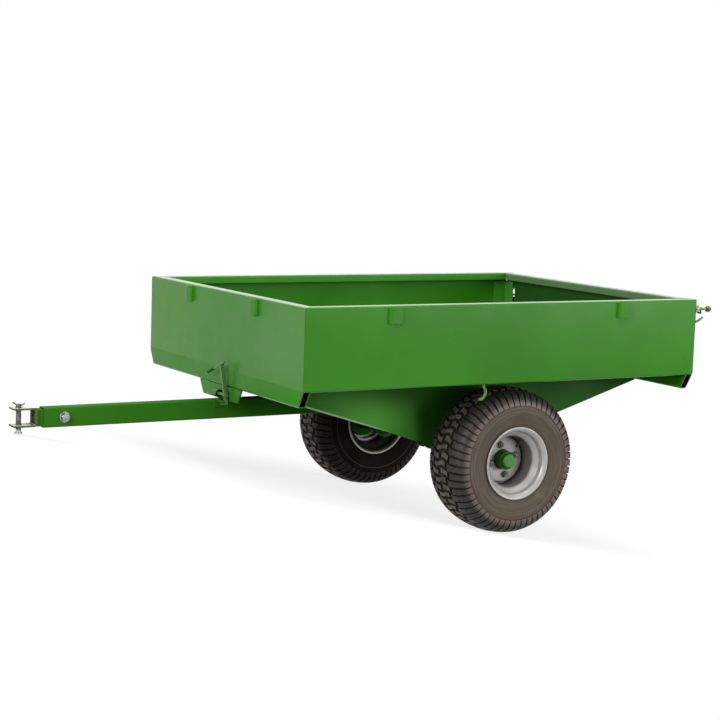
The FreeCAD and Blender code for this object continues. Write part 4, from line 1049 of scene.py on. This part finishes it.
def chalk_floor():
    """Diffuse chalk to the light, and nearly white to whatever looks at it."""
    chalk = Finish("white_floor")
    far = chalk.steps(chalk.vector("LENGTH", chalk.vector("MULTIPLY", chalk.place, (1, 1, 0))),
                      FADE_FROM, FADE_TO)
    grit = chalk.blend(chalk.noise(40.0, 3.0), colour(0.27, 0.27, 0.27), colour(0.29, 0.29, 0.29))
    matt = chalk.node("ShaderNodeBsdfDiffuse", {"Color": grit}).outputs[0]
    white = chalk.node("ShaderNodeEmission", {"Color": WHITE, "Strength": 1.0}).outputs[0]
    part = chalk.node("ShaderNodeEmission", {"Color": WHITE, "Strength": FLOOR_GLOW}).outputs[0]
    lit = chalk.node("ShaderNodeAddShader", {0: matt, 1: part}).outputs[0]
    near = chalk.node("ShaderNodeMixShader", {0: far, 1: lit, 2: white}).outputs[0]
    both = chalk.node("ShaderNodeMixShader", {0: chalk.rays_that_look(), 1: matt, 2: near}).outputs[0]
    chalk.node("ShaderNodeOutputMaterial", {"Surface": both})
    return chalk.material


# %% The floor
ground = bmesh.new()
bmesh.ops.create_circle(ground, cap_ends=True, segments=96, radius=14.0)
ground_mesh = bpy.data.meshes.new("floor")
ground.to_mesh(ground_mesh)
ground.free()
ground_mesh.materials.append(chalk_floor())
floor = bpy.data.objects.new("floor", ground_mesh)
scene = bpy.context.scene
scene.collection.objects.link(floor)
print("floor is", round(floor.dimensions.x, 1), "m across")

# %% The world
WORLD_TINT, WORLD_GLOW = (0.95, 0.98, 1.0, 1.0), 0.29
scene.view_settings.view_transform = "Standard"
scene.world = bpy.data.worlds.new("studio")
sky = Graph(scene.world)
shown = sky.node("ShaderNodeBackground", {"Color": WHITE, "Strength": 1.0}).outputs[0]
glow = sky.node("ShaderNodeBackground", {"Color": WORLD_TINT, "Strength": WORLD_GLOW}).outputs[0]
choice = sky.node("ShaderNodeMixShader", {0: sky.rays_that_look(), 1: glow, 2: shown}).outputs[0]
sky.node("ShaderNodeOutputWorld", {"Surface": choice})
print("world glow", WORLD_GLOW)


# %% The lamps
def softbox(name, spot, aim, width, height, power):
    """Rectangular lamp at a place in the towing pose, in metres, turned to face another place."""
    lamp = bpy.data.lights.new(name, "AREA")
    lamp.shape = "RECTANGLE"
    lamp.size, lamp.size_y, lamp.energy = width, height, power
    holder = bpy.data.objects.new(name, lamp)
    scene.collection.objects.link(holder)
    start, end = (PARKED @ (Vector(place) * 1000) for place in (spot, aim))
    holder.location = start
    holder.rotation_euler = (end - start).to_track_quat("-Z", "Y").to_euler()
    print(name, power, "W at", [round(value, 2) for value in start])


softbox("key_softbox", (4.0, 1.9, 2.0), (0.3, 0.0, 0.5), 2.4, 2.0, 120)
softbox("top_softbox", (-0.2, 0.4, 3.4), (0.0, 0.0, 0.4), 3.2, 2.4, 72)
softbox("side_softbox", (-2.6, 4.0, 1.3), (-0.2, 0.2, 0.4), 2.6, 1.6, 96)

# %% The camera
CAMERA_SPOT = Vector((3262.970, 5093.851, 1229.543))
CAMERA_FORWARD = Vector((-0.50241921, -0.85578675, -0.12330437))
CAMERA_DOWN = Vector((0.03298564, 0.12353503, -0.99179183))
CAMERA_RIGHT = Vector((-0.86399472, 0.50236255, 0.0338377))
camera_data = bpy.data.cameras.new("portrait_camera")
camera_data.sensor_width = 36.0
camera_data.lens = 91.975
camera_data.clip_end = 60.0
camera = bpy.data.objects.new("portrait_camera", camera_data)
scene.collection.objects.link(camera)
aim = Matrix((CAMERA_RIGHT, -CAMERA_DOWN, -CAMERA_FORWARD)).transposed()
camera.matrix_world = (Matrix.Translation(PARKED @ CAMERA_SPOT)
                       @ (Matrix.Rotation(pitch, 3, "Y") @ aim).to_4x4())
scene.camera = camera
print("camera at", [round(value, 2) for value in camera.matrix_world.translation])
